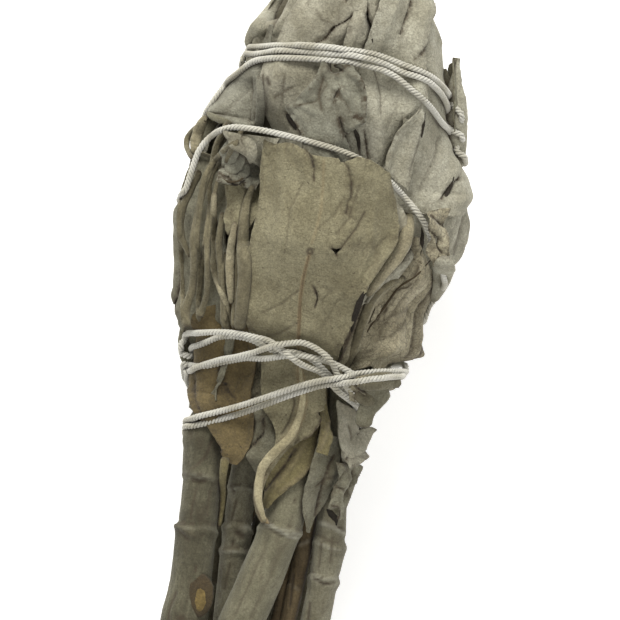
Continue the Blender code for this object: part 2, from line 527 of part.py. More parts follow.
def lay_leaves():
    """The leaves, inner ones first, each drawn as seen from its own side, and the twine over and between them."""
    leaf("back_leaf_a", [(-7, -8), (-10, 2), (-11, 14), (-9, 28), (-5, 40), (-1.5, 50)],
         [(5, -8), (9, 2), (11, 14), (10, 28), (5, 40), (0.5, 50)], facing=150, rows=14, cols=5)
    leaf("back_leaf_b", [(-6, 4), (-10, 14), (-10, 28), (-6, 40), (-3, 50), (-1, 56)],
         [(6, 4), (10, 14), (11, 28), (7, 40), (4, 50), (0.5, 56)], facing=205, rows=13, cols=5)
    leaf("back_leaf_c", [(-7, -24), (-9, -12), (-10, 2), (-8, 16), (-3, 26)],
         [(4, -25), (8, -12), (9, 2), (7, 16), (-1, 26)], facing=178, rows=13, cols=5)
    leaf("back_leaf_d", [(-4, -20), (-8, -8), (-9, 6), (-7, 18), (-2, 30)],
         [(5, -20), (8, -8), (9, 6), (6, 18), (0, 30)], facing=236, rows=13, cols=5)
    leaf("back_leaf_e", [(-6, -14), (-8, -2), (-9, 12), (-8, 26), (-3, 38)],
         [(5, -14), (9, -2), (10, 12), (7, 26), (-1, 38)], facing=118, rows=13, cols=5)
    leaf("back_leaf_f", [(-5, 18), (-9, 28), (-8, 38), (-5, 48), (-3, 57)],
         [(6, 18), (10, 28), (9, 38), (5, 48), (-1, 57)], facing=165, rows=11, cols=5)
    leaf("back_leaf_g", [(-5, 14), (-8, 24), (-8, 36), (-6, 47), (-2, 55)],
         [(5, 14), (9, 24), (8, 36), (3, 47), (0, 55)], facing=252, rows=11, cols=5)
    leaf("back_leaf_h", [(-3, 8), (-8, 18), (-9, 30), (-6, 42), (-2, 52)],
         [(5, 8), (9, 18), (8, 30), (4, 42), (0, 52)], facing=110, rows=12, cols=5)
    leaf("back_leaf_i", [(-2, -33), (-5, -24), (-8, -12), (-9, 0), (-6, 10)],
         [(1, -33), (3, -24), (6, -12), (7, 0), (1, 10)], facing=216, rows=12, cols=4)
    leaf("back_leaf_j", [(0, -30), (-4, -20), (-7, -8), (-7, 4), (-3, 12)],
         [(3, -30), (5, -20), (7, -8), (7, 4), (1, 12)], facing=140, rows=12, cols=4)
    leaf("rest_leaf", [(-5, -3), (-8, 4), (-8.5, 14), (-8, 24), (-4, 34), (-1, 40)],
         [(4, -3), (8, 4), (9, 14), (8, 24), (5, 34), (0.5, 40)], facing=180, rows=15, cols=7, flat=(4.6, 7.5, 19), relax=6)
    # Leaves of the upper half, as seen from the front
    leaf("left_side_leaf", [(-19, -13), (-23, -6), (-26, 2), (-27, 10), (-25, 17), (-22.5, 22)],
         [(-15.5, -12), (-17.5, -5), (-18.5, 0), (-19.5, 6), (-21, 12), (-21, 20)], rows=12)
    leaf("gray_right_leaf", [(18, 2), (19.5, 7), (19.5, 12), (20, 16), (21.5, 20)],
         [(21.3, 3), (22.6, 7), (23.6, 12), (24, 16), (23, 20)], rows=8)
    leaf("right_tip_leaf", [(18.5, 8), (19, 13), (19.6, 20), (20.3, 25)],
         [(22.6, 9), (24.2, 15), (23, 21), (21, 26.5)], rows=8)
    leaf("pale_right_leaf", [(16.4, 19), (14.6, 22), (14.1, 26), (14.4, 30), (13.9, 34), (12.8, 38), (12, 42),
                             (12, 47), (12.5, 53)],
         [(21.6, 20), (22.4, 24), (21.4, 30), (20.2, 35), (19, 39), (17.5, 43), (15.2, 47), (13.8, 52), (13.2, 55)],
         rows=14, cols=5)
    leaf("curled_tip_leaf", [(-18, 36), (-18.5, 39), (-17, 42.5), (-14.5, 46), (-12.6, 50), (-11.4, 54), (-10, 57)],
         [(-11.2, 36), (-11.4, 39), (-11.3, 42.5), (-11.9, 46), (-11.2, 50), (-10, 54), (-9, 57)], rows=11, cols=4,
         round_top=0.4)
    leaf("small_top_leaf", [(-11, 37), (-10.9, 41), (-10.4, 44.5), (-9.2, 46.4)],
         [(-5.5, 37), (-6, 41), (-6.6, 44.5), (-7.9, 46.6)], rows=6)
    leaf("upper_left_leaf", [(-20, 27.2), (-22, 29), (-21.5, 32), (-19.3, 35), (-17, 37.5), (-15.6, 40), (-14.6, 43)],
         [(-12, 26.8), (-12.1, 30), (-12.8, 33.6), (-13.4, 36.5), (-13, 39.5), (-12.6, 41.5), (-12.9, 43)],
         rows=9, cols=5, edge_lift=0.3)
    leaf("upper_middle_leaf", [(-11, 23.5), (-11.3, 27.5), (-11.8, 31), (-12.6, 34), (-12, 37.5), (-10.8, 41), (-9.4, 45),
                               (-8, 48.6), (-6, 53), (-3.4, 58)],
         [(0.6, 23), (0, 27), (0.9, 31), (1.5, 35), (1.2, 40), (0.3, 45), (0.2, 49), (-0.3, 53), (-2, 58)],
         rows=16, cols=6)
    leaf("fold_leaf", [(0.9, 37), (0.5, 41), (0.7, 45), (1.6, 49.6), (2.8, 53), (3.4, 56)],
         [(4.6, 37), (4.4, 41), (4.3, 44), (5.2, 48), (5.4, 52), (4.8, 56)], rows=9, fold=0.3)
    leaf("band_leaf", [(7, 22.4), (6.2, 25.8), (4.9, 29), (4.7, 32), (5.4, 35), (4.6, 38.2), (4.9, 42), (5.6, 47), (6.2, 52),
                       (7.2, 58)],
         [(10.4, 21.6), (9.6, 25), (9.9, 28.5), (11.2, 32), (12.8, 35), (12.3, 38.5), (11.2, 43), (11.2, 48), (11.3, 53),
          (8.6, 58.5)], rows=15, cols=5, fold=0.2)
    leaf("pointed_leaf", [(9.9, 24.2), (10.1, 27), (10.8, 30), (12, 33), (12.9, 34.9)],
         [(13.9, 22), (14.2, 25.5), (14.3, 29), (14.2, 32), (13.4, 34.9)], rows=8, edge_lift=0.25)
    leaf("side_roll", [(20.5, 33.2), (19.5, 36), (18.3, 39), (17.4, 42), (17.3, 44)],
         [(23, 34), (22, 37), (20.4, 40), (18.9, 42.8), (18.1, 44.2)], rows=8, cols=3, round_top=0.8)
    leaf("crumpled_leaf", [(-4, 24.4), (-5, 27.6), (-6.6, 29.5), (-8.1, 31.3), (-6.6, 33), (-5.2, 34.8), (-4.2, 37), (-3.8, 39)],
         [(4.4, 23.4), (3.6, 26.6), (2.6, 29), (4.6, 31), (4.2, 33.5), (3.9, 35.5), (3.4, 37.5), (2, 39.2)],
         rows=13, cols=7, edge_lift=0.4, ragged=0.4)
    # Leaves, petioles and folds down the left and right of the front
    leaf("brown_low_leaf", [(-10.8, 3), (-10.5, -3), (-10, -9), (-9.2, -13), (-7.8, -16)],
         [(-6, 3), (-5.5, -3), (-5, -8.5), (-4.4, -12.5), (-5.8, -16.6)], rows=10)
    leaf("gray_low_leaf", [(-4.8, -14), (-5.6, -18), (-5, -22), (-4.4, -25), (-3, -28)],
         [(2, -14), (1.4, -18), (0.6, -22), (-0.8, -25), (-2.2, -28.2)], rows=9)
    leaf("tan_leaf", [(-16.5, 2), (-17.5, -4), (-17.2, -10), (-15.6, -15), (-13.4, -19), (-11, -22.5), (-9.4, -25),
                      (-7.8, -26.3)],
         [(-11, 2), (-10.9, -4), (-10.2, -9.5), (-8.9, -13.7), (-7, -17.5), (-6.2, -21), (-5.8, -24.5), (-6.7, -26.2)],
         rows=15, cols=5, colour=DRY_COLOUR)
    leaf("petiole_outer", [(-21.6, 19), (-22.3, 15), (-22, 11), (-20.8, 8), (-18.9, 5)],
         [(-20, 19.3), (-20.7, 15), (-20.4, 11), (-19.4, 8.3), (-17.9, 5.6)], rows=9, cols=3, round_top=0.7, ragged=0.1)
    leaf("petiole_second", [(-18.2, 26.4), (-19.2, 22), (-19.9, 17), (-19.6, 12), (-18.9, 7), (-18, 2), (-17.4, -2), (-16.4, -5)],
         [(-16.8, 26.2), (-17.7, 22), (-18.4, 17), (-18.1, 12), (-17.4, 7), (-16.6, 2), (-16, -2), (-15.3, -4.4)],
         rows=14, cols=3, round_top=0.8, ragged=0.1)
    leaf("petiole_third", [(-15.6, 25.6), (-17, 22), (-17.7, 18.6), (-17.6, 15), (-17.1, 10), (-16.4, 5), (-15.6, 1), (-15, -2.8)],
         [(-14.4, 25.4), (-15.8, 22), (-16.6, 18.6), (-16.4, 15), (-15.9, 10), (-15.2, 5), (-14.4, 1), (-13.9, -2.8)],
         rows=13, cols=3, round_top=0.6, ragged=0.1)
    leaf("petiole_fourth", [(-15.6, 12), (-15.2, 8), (-14.2, 4), (-13.2, 0.5), (-12.4, -2), (-11.8, -4.2)],
         [(-14.3, 12), (-13.8, 8), (-12.8, 4), (-11.8, 0.5), (-11, -2), (-10.5, -4.2)],
         rows=9, cols=3, round_top=0.7, ragged=0.1)
    leaf("petiole_fifth", [(-12.2, 20.5), (-12.9, 15), (-13.1, 10), (-12.4, 5), (-11.5, 1), (-10.9, -3.6)],
         [(-10.9, 20.5), (-11, 15), (-10.6, 10), (-10.2, 5), (-9.6, 1), (-9, -3.6)],
         rows=11, cols=3, round_top=0.5, ragged=0.15)
    leaf("strip_leaf", [(7.6, -6), (7.7, -2), (8.4, 1.5), (9.2, 4.5), (10.6, 8)],
         [(10, -6), (10.6, -1), (12, 3), (13.6, 6), (15, 9)], rows=8)
    leaf("layered_edge", [(13.6, -4.6), (15.8, -1), (17, 2), (17.6, 5), (19, 9)],
         [(18.6, -6), (20, -3), (21, 1), (21.8, 5), (22.6, 9)], rows=9, cols=5, edge_lift=0.3, ragged=0.4)
    leaf("veined_leaf", [(9.7, -8), (9.7, -4), (10.7, 0), (12.4, 4), (14.2, 7), (16, 10.5), (17, 14)],
         [(13, -6.3), (15, -3), (17.2, 1), (18.4, 5), (19.2, 8), (19.6, 11), (19, 13.6)],
         rows=12, cols=5, colour=DRY_COLOUR)
    leaf("ridge_leaf", [(13.4, 19), (13.9, 16), (13.6, 12.5), (12, 9), (10.6, 6), (9.9, 3.6)],
         [(15.4, 17.6), (16.4, 15), (16.6, 12.4), (15.6, 10), (13.6, 7), (11, 3.9)], rows=9, cols=5, fold=0.5)
    leaf("left_tongue", [(-17, 18.2), (-16.4, 14), (-15.2, 10.8), (-14.2, 8.4)],
         [(-12.4, 18.2), (-12.7, 14), (-13, 11), (-13.5, 8.4)], rows=7)
    leaf("left_crumple", [(-16.2, 24.3), (-17.2, 22), (-17.3, 20), (-16.9, 18.4)],
         [(-11.8, 23.6), (-11.9, 21.5), (-12.2, 19.8), (-12.6, 18)], rows=7, cols=5, edge_lift=0.5, ragged=0.4)
    leaf("left_knob", [(-15.6, 25.4), (-15, 24), (-13.4, 22.6), (-12.4, 21.4)],
         [(-11.4, 25.7), (-11.4, 24), (-11.5, 22.4), (-11.7, 21.3)], rows=6, round_top=0.6)
    wind("middle")
    cover_twine("middle", 3.0, 11.4)
    # Leaves round the foot of the front
    leaf("olive_leaf", [(3.2, -17), (1.8, -21), (0.5, -25), (-0.7, -28.5), (-0.8, -31), (-0.5, -32.3)],
         [(7, -17), (7, -21), (6.2, -24.5), (3.9, -27.2), (1.7, -29.7), (0.2, -32.2)], rows=11)
    leaf("brown_thin_leaf", [(7.3, -20), (6.7, -24), (6.3, -29), (6.9, -33), (7.8, -34.8)],
         [(10, -20), (10.2, -25), (9.2, -29), (8.5, -32), (8.4, -34.8)], rows=10, cols=3, colour=DRY_COLOUR)
    leaf("stem_scrap", [(9.6, -23), (10.2, -26), (9.6, -29), (9.6, -32)],
         [(14, -23), (14.4, -26), (13.8, -29), (13.4, -32)], rows=7, edge_lift=0.4, ragged=0.4)
    leaf("straight_strip", [(7.8, -10), (7.6, -14), (6.8, -18), (6.2, -22)],
         [(10.4, -10), (9.8, -14), (9, -18), (8.2, -22.2)], rows=9, cols=3)
    leaf("flag_leaf", [(10.7, -14.8), (10.5, -18), (10.3, -21), (10.3, -23.6)],
         [(14.6, -15.4), (15.4, -17.4), (13.8, -20.4), (12.2, -23)], rows=7, cols=4, edge_lift=0.3)
    leaf("dry_roll", [(-8.5, -25), (-8.2, -29), (-7.6, -33), (-7.5, -36.5)],
         [(-7.1, -25.6), (-7.1, -29), (-6.6, -33), (-6.6, -36.5)], rows=8, cols=3, round_top=0.4, ragged=0.1)
    leaf("front_leaf",
         [(-0.5, -34.6), (-1.8, -33), (-2.6, -30.5), (-2.3, -27.5), (-1.4, -25), (-0.5, -22.8), (-0.6, -20.6),
          (-1.6, -18.6), (-3.8, -16.4), (-4.8, -14), (-5.6, -11), (-6.6, -8), (-8, -5), (-8.8, 0), (-9.5, 5), (-10, 10),
          (-10.4, 15), (-10.8, 20), (-11, 25)],
         [(0.9, -34.6), (-0.2, -33), (-1, -30.5), (-0.8, -27.5), (0.2, -25), (1.4, -22.8), (3.4, -20.8),
          (5.4, -19), (6.1, -16.8), (7.1, -14.4), (7.6, -11), (7.4, -8), (7.4, -4), (8.4, 0.5), (9.3, 5), (11.4, 10),
          (13.1, 14.6), (12.2, 19), (10, 24.6)],
         rows=27, cols=9, ragged=0.12, relax=14)
    bare = heights.copy()
    cover_twine("middle", 16, 26)
    leaf("brown_crumple", [(16.9, 18.8), (16.9, 16.8), (17.8, 14.8), (17.9, 12), (18.6, 10.4)],
         [(19.4, 20.2), (19.9, 17.6), (20, 15), (19.9, 12.6), (19.6, 10.6)], rows=9, cols=5, edge_lift=0.4,
         ragged=0.35, colour=DRY_COLOUR)
    leaf("left_loop", [(-21.4, 27.4), (-23.4, 25), (-23.6, 22.6), (-22.2, 20.4)],
         [(-20.7, 27), (-22.4, 24.8), (-22.6, 22.6), (-21.4, 20.9)], rows=7, cols=3, ragged=0.05)
    wind("low_second")
    wind("low_third")
    wind("low_first")
    wind("low_top")
    wind("lead_back", "middle_back", "low_third_back", "low_second_back")
    wind("top_low")
    wind("top_middle")
    wind("top_high")
    wind("top_low_back")
    wind("top_middle_back")
    wind("top_high_back")
    wind("low_first_back", "low_top_back")
    for cord_part in ("low_second", "low_third", "low_first", "low_top"):
        cover_twine(cord_part, 8.5, 16)
    leaf("under_lobe", [(9, -11), (11.5, -10.9), (14, -11), (16.6, -11.2)],
         [(9.3, -13), (11.5, -13.2), (13.4, -14), (15.4, -13.4)], rows=7, cols=4)
    leaf("lobe_leaf", [(9.6, -9.8), (12, -8.9), (15, -8.6), (18.4, -9.6)],
         [(9.8, -11), (12, -11.9), (15, -11.8), (18, -10.6)], rows=8, cols=4, edge_lift=0.3)
    wind("slant_low")
    wind("slant_high")
    wind("slant_low_back", "slant_high_back")
    return bare


for old in list(bpy.data.objects):
    bpy.data.objects.remove(old, do_unlink=True)

for round_no in range(ROUNDS):
    making = round_no == ROUNDS - 1
    heights[:] = 1.5
    twine_a, twine_y, twine_part = smooth_route()
    twine_r = np.zeros(len(twine_a))
    laid = np.zeros(len(twine_a), bool)
    lay_stems()
    bridge_stems()
    lay_core()
    laid_heights = lay_leaves()
    if not making:
        excess = laid_heights - outline_radius(grid_a[:, None], grid_y[None])
        excess = highest_near(excess, 14, 3)
        for _ in range(6):
            excess = (excess + np.roll(excess, 2, 0) + np.roll(excess, -2, 0)) / 3
            pad = np.pad(excess, ((0, 0), (2, 2)), mode="edge")
            excess = (pad[:, :-4] + pad[:, 2:-2] + pad[:, 4:]) / 3
        setback = np.clip(setback + 0.8 * excess, 1.2, 12.5)
        measure_route()

line = place(twine_a, twine_y, twine_r)
kept = few_points(line, 0.08)
line, line_a = line[kept], np.radians(twine_a[kept])
ahead = np.gradient(line, axis=0)
ahead /= np.linalg.norm(ahead, axis=1)[:, None]
out = np.stack([np.sin(line_a), 0 * line_a, np.cos(line_a)], 1)
out -= (out * ahead).sum(1)[:, None] * ahead
out /= np.linalg.norm(out, axis=1)[:, None]
side = np.cross(out, ahead)
turn = 2 * math.pi * np.arange(TWINE_SIDES) / TWINE_SIDES
ring = np.cos(turn)[None, :, None] * side[:, None] + np.sin(turn)[None, :, None] * out[:, None]
make_object("twine", (line[:, None] + TWINE_R * ring).reshape(-1, 3), tube_faces(len(line), TWINE_SIDES),
            (0.6, 0.58, 0.5), 0.85)
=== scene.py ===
"""Sage smudge stick dressed for its picture: felted sage leaves, woody stems, petioles and cotton twine.

Lengths are millimetres until a mesh is made. A place on the stick is its angle round the axis, 0 at the front
(+Z) towards the right (+X), its distance along the stick towards the tips (+Y), and its radius from the axis.
"""

import math

import bpy
import numpy as np
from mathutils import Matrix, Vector
from mathutils.bvhtree import BVHTree


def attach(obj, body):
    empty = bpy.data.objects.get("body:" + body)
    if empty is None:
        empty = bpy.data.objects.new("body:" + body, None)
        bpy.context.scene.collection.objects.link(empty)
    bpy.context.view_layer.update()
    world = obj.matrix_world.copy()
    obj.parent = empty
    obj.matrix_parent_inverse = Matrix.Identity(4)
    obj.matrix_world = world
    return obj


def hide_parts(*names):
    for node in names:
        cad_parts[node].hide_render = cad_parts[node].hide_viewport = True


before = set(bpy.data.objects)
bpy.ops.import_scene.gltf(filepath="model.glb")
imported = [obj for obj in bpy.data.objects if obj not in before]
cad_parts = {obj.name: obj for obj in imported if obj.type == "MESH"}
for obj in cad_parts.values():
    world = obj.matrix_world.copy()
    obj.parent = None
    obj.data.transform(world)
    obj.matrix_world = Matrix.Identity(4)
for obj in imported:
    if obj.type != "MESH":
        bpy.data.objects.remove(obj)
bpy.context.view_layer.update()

# Stems. Eight cut sage stems, square-cut at the thick end, pale brown bark under a grey bloom with a
# raised ring at every leaf scar. They run up between the leaves, which are packed round them.
STEM_END = -60.0
AXIS_AT_END = 9.0
AXIS_SLOPE = 0.142
SHIFT_X = 0.5
SHIFT_Y = 1.705


def table(rows, y, column=1):
    """Value of a given table whose rows start with the distance along."""
    return np.interp(y, [row[0] for row in rows], [row[column] for row in rows])


def axis_height(y):
    """Height of the stick's axis, which rises from the stems to the tips."""
    return AXIS_AT_END + AXIS_SLOPE * (np.asarray(y, float) - STEM_END)


def place(angle, y, radius):
    """Points in millimetres from angle, distance along and radius."""
    a = np.radians(angle)
    x = radius * np.sin(a) + SHIFT_X
    z = axis_height(y) + radius * np.cos(a)
    return np.stack(np.broadcast_arrays(x, np.asarray(y, float) + SHIFT_Y, z), -1)


# Large odd numbers that turn the corners of a grid into random values
SCRAMBLE = (374761393, 668265263, 2246822519)


def noise(points, size, seed=0):
    """Smooth noise from -1 to 1 at points, with humps about the size across. The size may differ by axis."""
    p = np.asarray(points, float) / size + 31.7 * (seed + 1)
    low = np.floor(p).astype(np.int64)
    f = p - low
    f = f * f * (3 - 2 * f)
    total = np.zeros(p.shape[:-1])
    for corner in np.ndindex(*(2,) * p.shape[-1]):
        mixed = np.full(p.shape[:-1], seed * SCRAMBLE[0] + 97, np.int64)
        weight = np.ones(p.shape[:-1])
        for axis, step in enumerate(corner):
            mixed = (mixed ^ (low[..., axis] + step)) * SCRAMBLE[1] + SCRAMBLE[2]
            mixed = mixed ^ (mixed >> 15)
            weight = weight * (f[..., axis] if step else 1 - f[..., axis])
        total = total + weight * ((mixed & 0xFFFFF) / 524287.5 - 1)
    return total


def rough(points, size, seed=0, octaves=3):
    """Noise with finer and weaker noise on top of it."""
    size = np.asarray(size, float)
    layers = [noise(points, size / 2 ** k, seed + 11 * k) * 0.5 ** k for k in range(octaves)]
    return sum(layers) / sum(0.5 ** k for k in range(octaves))


def hump(distance, width):
    """1 at no distance, falling smoothly to nothing at about twice the width."""
    return np.exp(-(np.asarray(distance) / width) ** 2)


# How far the dried edges stand off their solids, as seen from the front. Rows of distance along, place of the
# left edge, how far it moves to the right, place of the right edge and how far that moves
STAND_OFF = [(-52, -13.2, 0, 12.9, 0), (-34, -13.6, 0, 13, 0), (-30, -14, 0, 13.1, -0.6), (-25, -15, -0.5, 13.7, 0.4),
             (-21, -15.4, -2.1, 14.2, 0.8), (-17, -15.8, -2.5, 15, -0.8), (-12, -17.4, -3.2, 15.3, -1.0),
             (-8, -18.6, -4.0, 17.8, 0.0), (-4, -20, -3.5, 19.8, 2.1), (0, -21.1, -1.2, 19.6, 0.4),
             (4, -21.4, -0.8, 20.2, -0.6), (8, -22.8, -1.1, 22.2, 0.1), (12, -22.9, -0.2, 23, 1),
             (18, -21.8, 0.7, 24.3, 1.3), (24, -23, 0.4, 23.2, 0.9), (28, -21, 0.8, 21.9, 1.3),
             (33, -18.8, 1.2, 20.3, 0.9), (39, -16, 0.9, 19.6, 2.1), (45, -14.3, 0.8, 15.2, 1.4),
             (58, -11, 0.9, 12, 1.1)]
# What lies within this share of the way to the edge stays where it is
INNER_SHARE = 0.35
# Points and faces of every piece made so far, before they stand off
PIECES = {}


def stand_off(points):
    """The points moved sideways with the edge on their side, the more so the nearer they are to it."""
    x, y = points[..., 0] - SHIFT_X, points[..., 1] - SHIFT_Y
    left, out_left, right, out_right = (table(STAND_OFF, y, k) for k in range(1, 5))
    share = np.clip((np.where(x < 0, x / left, x / right) - INNER_SHARE) / (1 - INNER_SHARE), 0, 1.15) ** 1.5
    moved = np.array(points, float)
    moved[..., 0] += share * np.where(x < 0, out_left, out_right)
    return moved


def new_piece(name, points, faces, look, marks, flat_faces=(), as_solid=True):
    """Mesh object from points in millimetres, with its material and its marks: rib, brown and worn edge of each
    point, from 0 to 1. A piece made as its solid lies stands off with the edges."""
    PIECES[name] = (points, faces)
    if as_solid:
        points = stand_off(np.asarray(points, float))
    mesh = bpy.data.meshes.new(name)
    mesh.vertices.add(len(points))
    mesh.vertices.foreach_set("co", (np.asarray(points) * 0.001).ravel())
    sizes = np.array([len(f) for f in faces], np.int32)
    mesh.loops.add(int(sizes.sum()))
    mesh.loops.foreach_set("vertex_index", np.concatenate([np.asarray(f, np.int32) for f in faces]))
    mesh.polygons.add(len(faces))
    mesh.polygons.foreach_set("loop_start", np.r_[0, np.cumsum(sizes)[:-1]].astype(np.int32))
    mesh.update(calc_edges=True)
    smooth = np.ones(len(faces), bool)
    smooth[list(flat_faces)] = False
    mesh.polygons.foreach_set("use_smooth", smooth)
    mesh.attributes.new("marks", "FLOAT_VECTOR", "POINT")
    mesh.attributes["marks"].data.foreach_set("vector", np.asarray(marks, np.float32).ravel())
    mesh.materials.append(look)
    obj = bpy.data.objects.new(name, mesh)
    bpy.context.scene.collection.objects.link(obj)
    return obj


def add(tree, kind, settings=None, **inputs):
    """Node of that kind, a shader node unless its kind says otherwise. Its inputs are named with _ for a space, or
    i and their number, and hold a value or another node's output."""
    made = tree.nodes.new(kind if kind.startswith("Geometry") else "ShaderNode" + kind)
    for name, value in (settings or {}).items():
        setattr(made, name, value)
    for name, value in inputs.items():
        socket = made.inputs[int(name[1:])] if name[1:].isdigit() else made.inputs[name.replace("_", " ")]
        if isinstance(value, bpy.types.NodeSocket):
            tree.links.new(value, socket)
        else:
            socket.default_value = value
    return made.outputs


def blend_colours(tree, factor, first, second, kind="MIX"):
    """The first colour, with the second laid over it by the factor."""
    return add(tree, "Mix", {"data_type": "RGBA", "blend_type": kind}, i0=factor, i6=first, i7=second)[2]


def sums(tree, kind, first, second=0.0, clamped=False):
    """A sum on one or two values, such as ADD or COSINE, held to 0 to 1 if clamped."""
    return add(tree, "Math", {"operation": kind, "use_clamp": clamped}, i0=first, i1=second)[0]


def times(tree, first, second, clamped=False):
    """The product of two values."""
    return sums(tree, "MULTIPLY", first, second, clamped)


def stretch(tree, value, low, high, new_low=0.0, new_high=1.0):
    """The value spread from one range to another, smoothly and held to its ends."""
    return add(tree, "MapRange", {"interpolation_type": "SMOOTHSTEP"}, Value=value, From_Min=low, From_Max=high,
               To_Min=new_low, To_Max=new_high)[0]


def speckle(tree, where, size, detail=2.0, roughness=0.55):
    """Noise with grains of about the size, in millimetres."""
    return add(tree, "TexNoise", Vector=where, Scale=1000 / size, Detail=detail, Roughness=roughness)[0]


def new_group(name, inputs, outputs):
    """Empty node group with these inputs and outputs, as (tree, its inputs, its output node)."""
    tree = bpy.data.node_groups.new(name, "ShaderNodeTree")
    for label, value in inputs.items():
        colour = isinstance(value, tuple)
        made = tree.interface.new_socket(label, in_out="INPUT",
                                         socket_type="NodeSocketColor" if colour else "NodeSocketFloat")
        made.default_value = (*value, 1) if colour else value
    for label, kind in outputs.items():
        tree.interface.new_socket(label, in_out="OUTPUT", socket_type="NodeSocket" + kind)
    return tree, tree.nodes.new("NodeGroupInput").outputs, tree.nodes.new("NodeGroupOutput")


def new_material(name, **inputs):
    """(material, its tree, its shader), with the shader's inputs set, named with _ for a space."""
    look = bpy.data.materials.new(name)
    look.use_nodes = True
    shader = look.node_tree.nodes["Principled BSDF"]
    for label, value in inputs.items():
        shader.inputs[label.replace("_", " ")].default_value = value
    return look, look.node_tree, shader


# What every dried surface here shares: a soft bloom in cloudy patches, felt as fine as flour, a net of fine veins,
# and brown where it has torn, cracked or worn. Where no light gets in, painted shade also turns it towards the brown.
plant, of, out = new_group(
    "dried_plant",
    {"Light": (0.3, 0.3, 0.24), "Shade": (0.2, 0.19, 0.13), "Brown": (0.07, 0.05, 0.03), "Rib": (0.3, 0.24, 0.15),
     "Patches": 1.0, "Net": 0.3, "Specks": 0.3, "Wear": 0.4, "Stripes": 0.0},
    {"Color": "Color", "Roughness": "Float", "Height": "Float"})
spot = add(plant, "TexCoord")["Object"]
marks = add(plant, "Attribute", {"attribute_name": "marks"})["Vector"]
vein, dark, edge = add(plant, "SeparateXYZ", Vector=marks)
cloud = speckle(plant, spot, 5.0, 4.0, 0.6)
fleck = speckle(plant, spot, 1.1, 3.0, 0.6)
felt = speckle(plant, spot, 0.3, 3.0, 0.7)
leather = speckle(plant, spot, 0.75, 3.0, 0.65)
crackle = stretch(plant, sums(plant, "ABSOLUTE", sums(plant, "SUBTRACT", leather, 0.5)), 0.0, 0.035, 1.0, 0.0)
long_spot = add(plant, "Mapping", Vector=spot, Scale=(1.0, 0.16, 1.0))[0]
fibre = speckle(plant, long_spot, 0.55, 3.0, 0.6)
wander = add(plant, "TexNoise", Vector=spot, Scale=900.0, Detail=2.0)["Color"]
bent = add(plant, "VectorMath", {"operation": "MULTIPLY_ADD"}, i0=wander, i1=(0.0011, 0.0011, 0.0011), i2=spot)[0]
net_far = add(plant, "TexVoronoi", {"feature": "DISTANCE_TO_EDGE"}, Vector=bent, Scale=760.0)["Distance"]
net_fine = add(plant, "TexVoronoi", {"feature": "DISTANCE_TO_EDGE"}, Vector=bent, Scale=1900.0)["Distance"]
net = sums(plant, "ADD", stretch(plant, net_far, 0.0, 0.09, 1.0, 0.0),
           times(plant, stretch(plant, net_fine, 0.0, 0.12, 1.0, 0.0), 0.5))
net = times(plant, net, of["Net"], True)
bloom = sums(plant, "ADD", times(plant, cloud, 0.8), times(plant, fleck, 0.2))
colour = blend_colours(plant, times(plant, stretch(plant, bloom, 0.34, 0.66), of["Patches"]),
                       of["Light"], of["Shade"])
stripes = times(plant, stretch(plant, fibre, 0.35, 0.7), of["Stripes"])
colour = blend_colours(plant, stripes, colour, of["Shade"])
colour = blend_colours(plant, 1.0, colour, stretch(plant, felt, 0.28, 0.74, 0.78, 1.2), "MULTIPLY")
colour = blend_colours(plant, times(plant, crackle, 0.22), colour, of["Brown"])
colour = blend_colours(plant, times(plant, vein, 0.75, True), colour, of["Rib"])
colour = blend_colours(plant, times(plant, net, 0.42), colour, of["Brown"])
grain = speckle(plant, spot, 0.5, 1.0, 0.4)
speck = times(plant, stretch(plant, grain, 0.7, 0.78), of["Specks"])
worn = times(plant, times(plant, edge, stretch(plant, fleck, 0.42, 0.62)), of["Wear"])
brown = sums(plant, "ADD", sums(plant, "ADD", dark, speck), worn, True)
colour = blend_colours(plant, brown, colour, of["Brown"])
plant.links.new(stretch(plant, felt, 0.2, 0.8, 0.98, 0.8), out.inputs["Roughness"])
# Painted shade: ambient occlusion within 1.4 mm blends the colour towards the brown in creases, gaps and under other
# leaves.
hollow = add(plant, "AmbientOcclusion", {"samples": 6}, Distance=0.0014)["AO"]
colour = blend_colours(plant, stretch(plant, hollow, 0.15, 0.8, 1.0, 0.0), colour, of["Brown"])
raised = sums(plant, "ADD", times(plant, felt, 0.3), times(plant, leather, 0.9))
raised = sums(plant, "SUBTRACT", raised, times(plant, crackle, 0.12))
raised = sums(plant, "ADD", raised, times(plant, fibre, times(plant, of["Stripes"], 0.6)))
raised = sums(plant, "SUBTRACT", raised, times(plant, net, 0.35))
raised = sums(plant, "SUBTRACT", raised, times(plant, speck, 0.3))
plant.links.new(colour, out.inputs["Color"])
plant.links.new(raised, out.inputs["Height"])


def plant_look(name, light, shade, brown=(0.06, 0.045, 0.028), rib=(0.33, 0.27, 0.17), bump=0.9, sheen=0.08,
               **amounts):
    """Material of one kind of leaf, stem or petiole."""
    look, tree, shader = new_material(name, Specular_IOR_Level=0.25, Sheen_Weight=sheen, Sheen_Roughness=0.6,
                                      Sheen_Tint=(0.9, 0.92, 0.85, 1))
    cover = tree.nodes.new("ShaderNodeGroup")
    cover.node_tree = plant
    for label, value in {"Light": light, "Shade": shade, "Brown": brown, "Rib": rib, **amounts}.items():
        cover.inputs[label].default_value = (*value, 1) if isinstance(value, tuple) else value
    tree.links.new(cover.outputs["Color"], shader.inputs["Base Color"])
    tree.links.new(cover.outputs["Roughness"], shader.inputs["Roughness"])
    relief = add(tree, "Bump", Strength=bump, Distance=0.0003, Height=cover.outputs["Height"])[0]
    tree.links.new(relief, shader.inputs["Normal"])
    return look


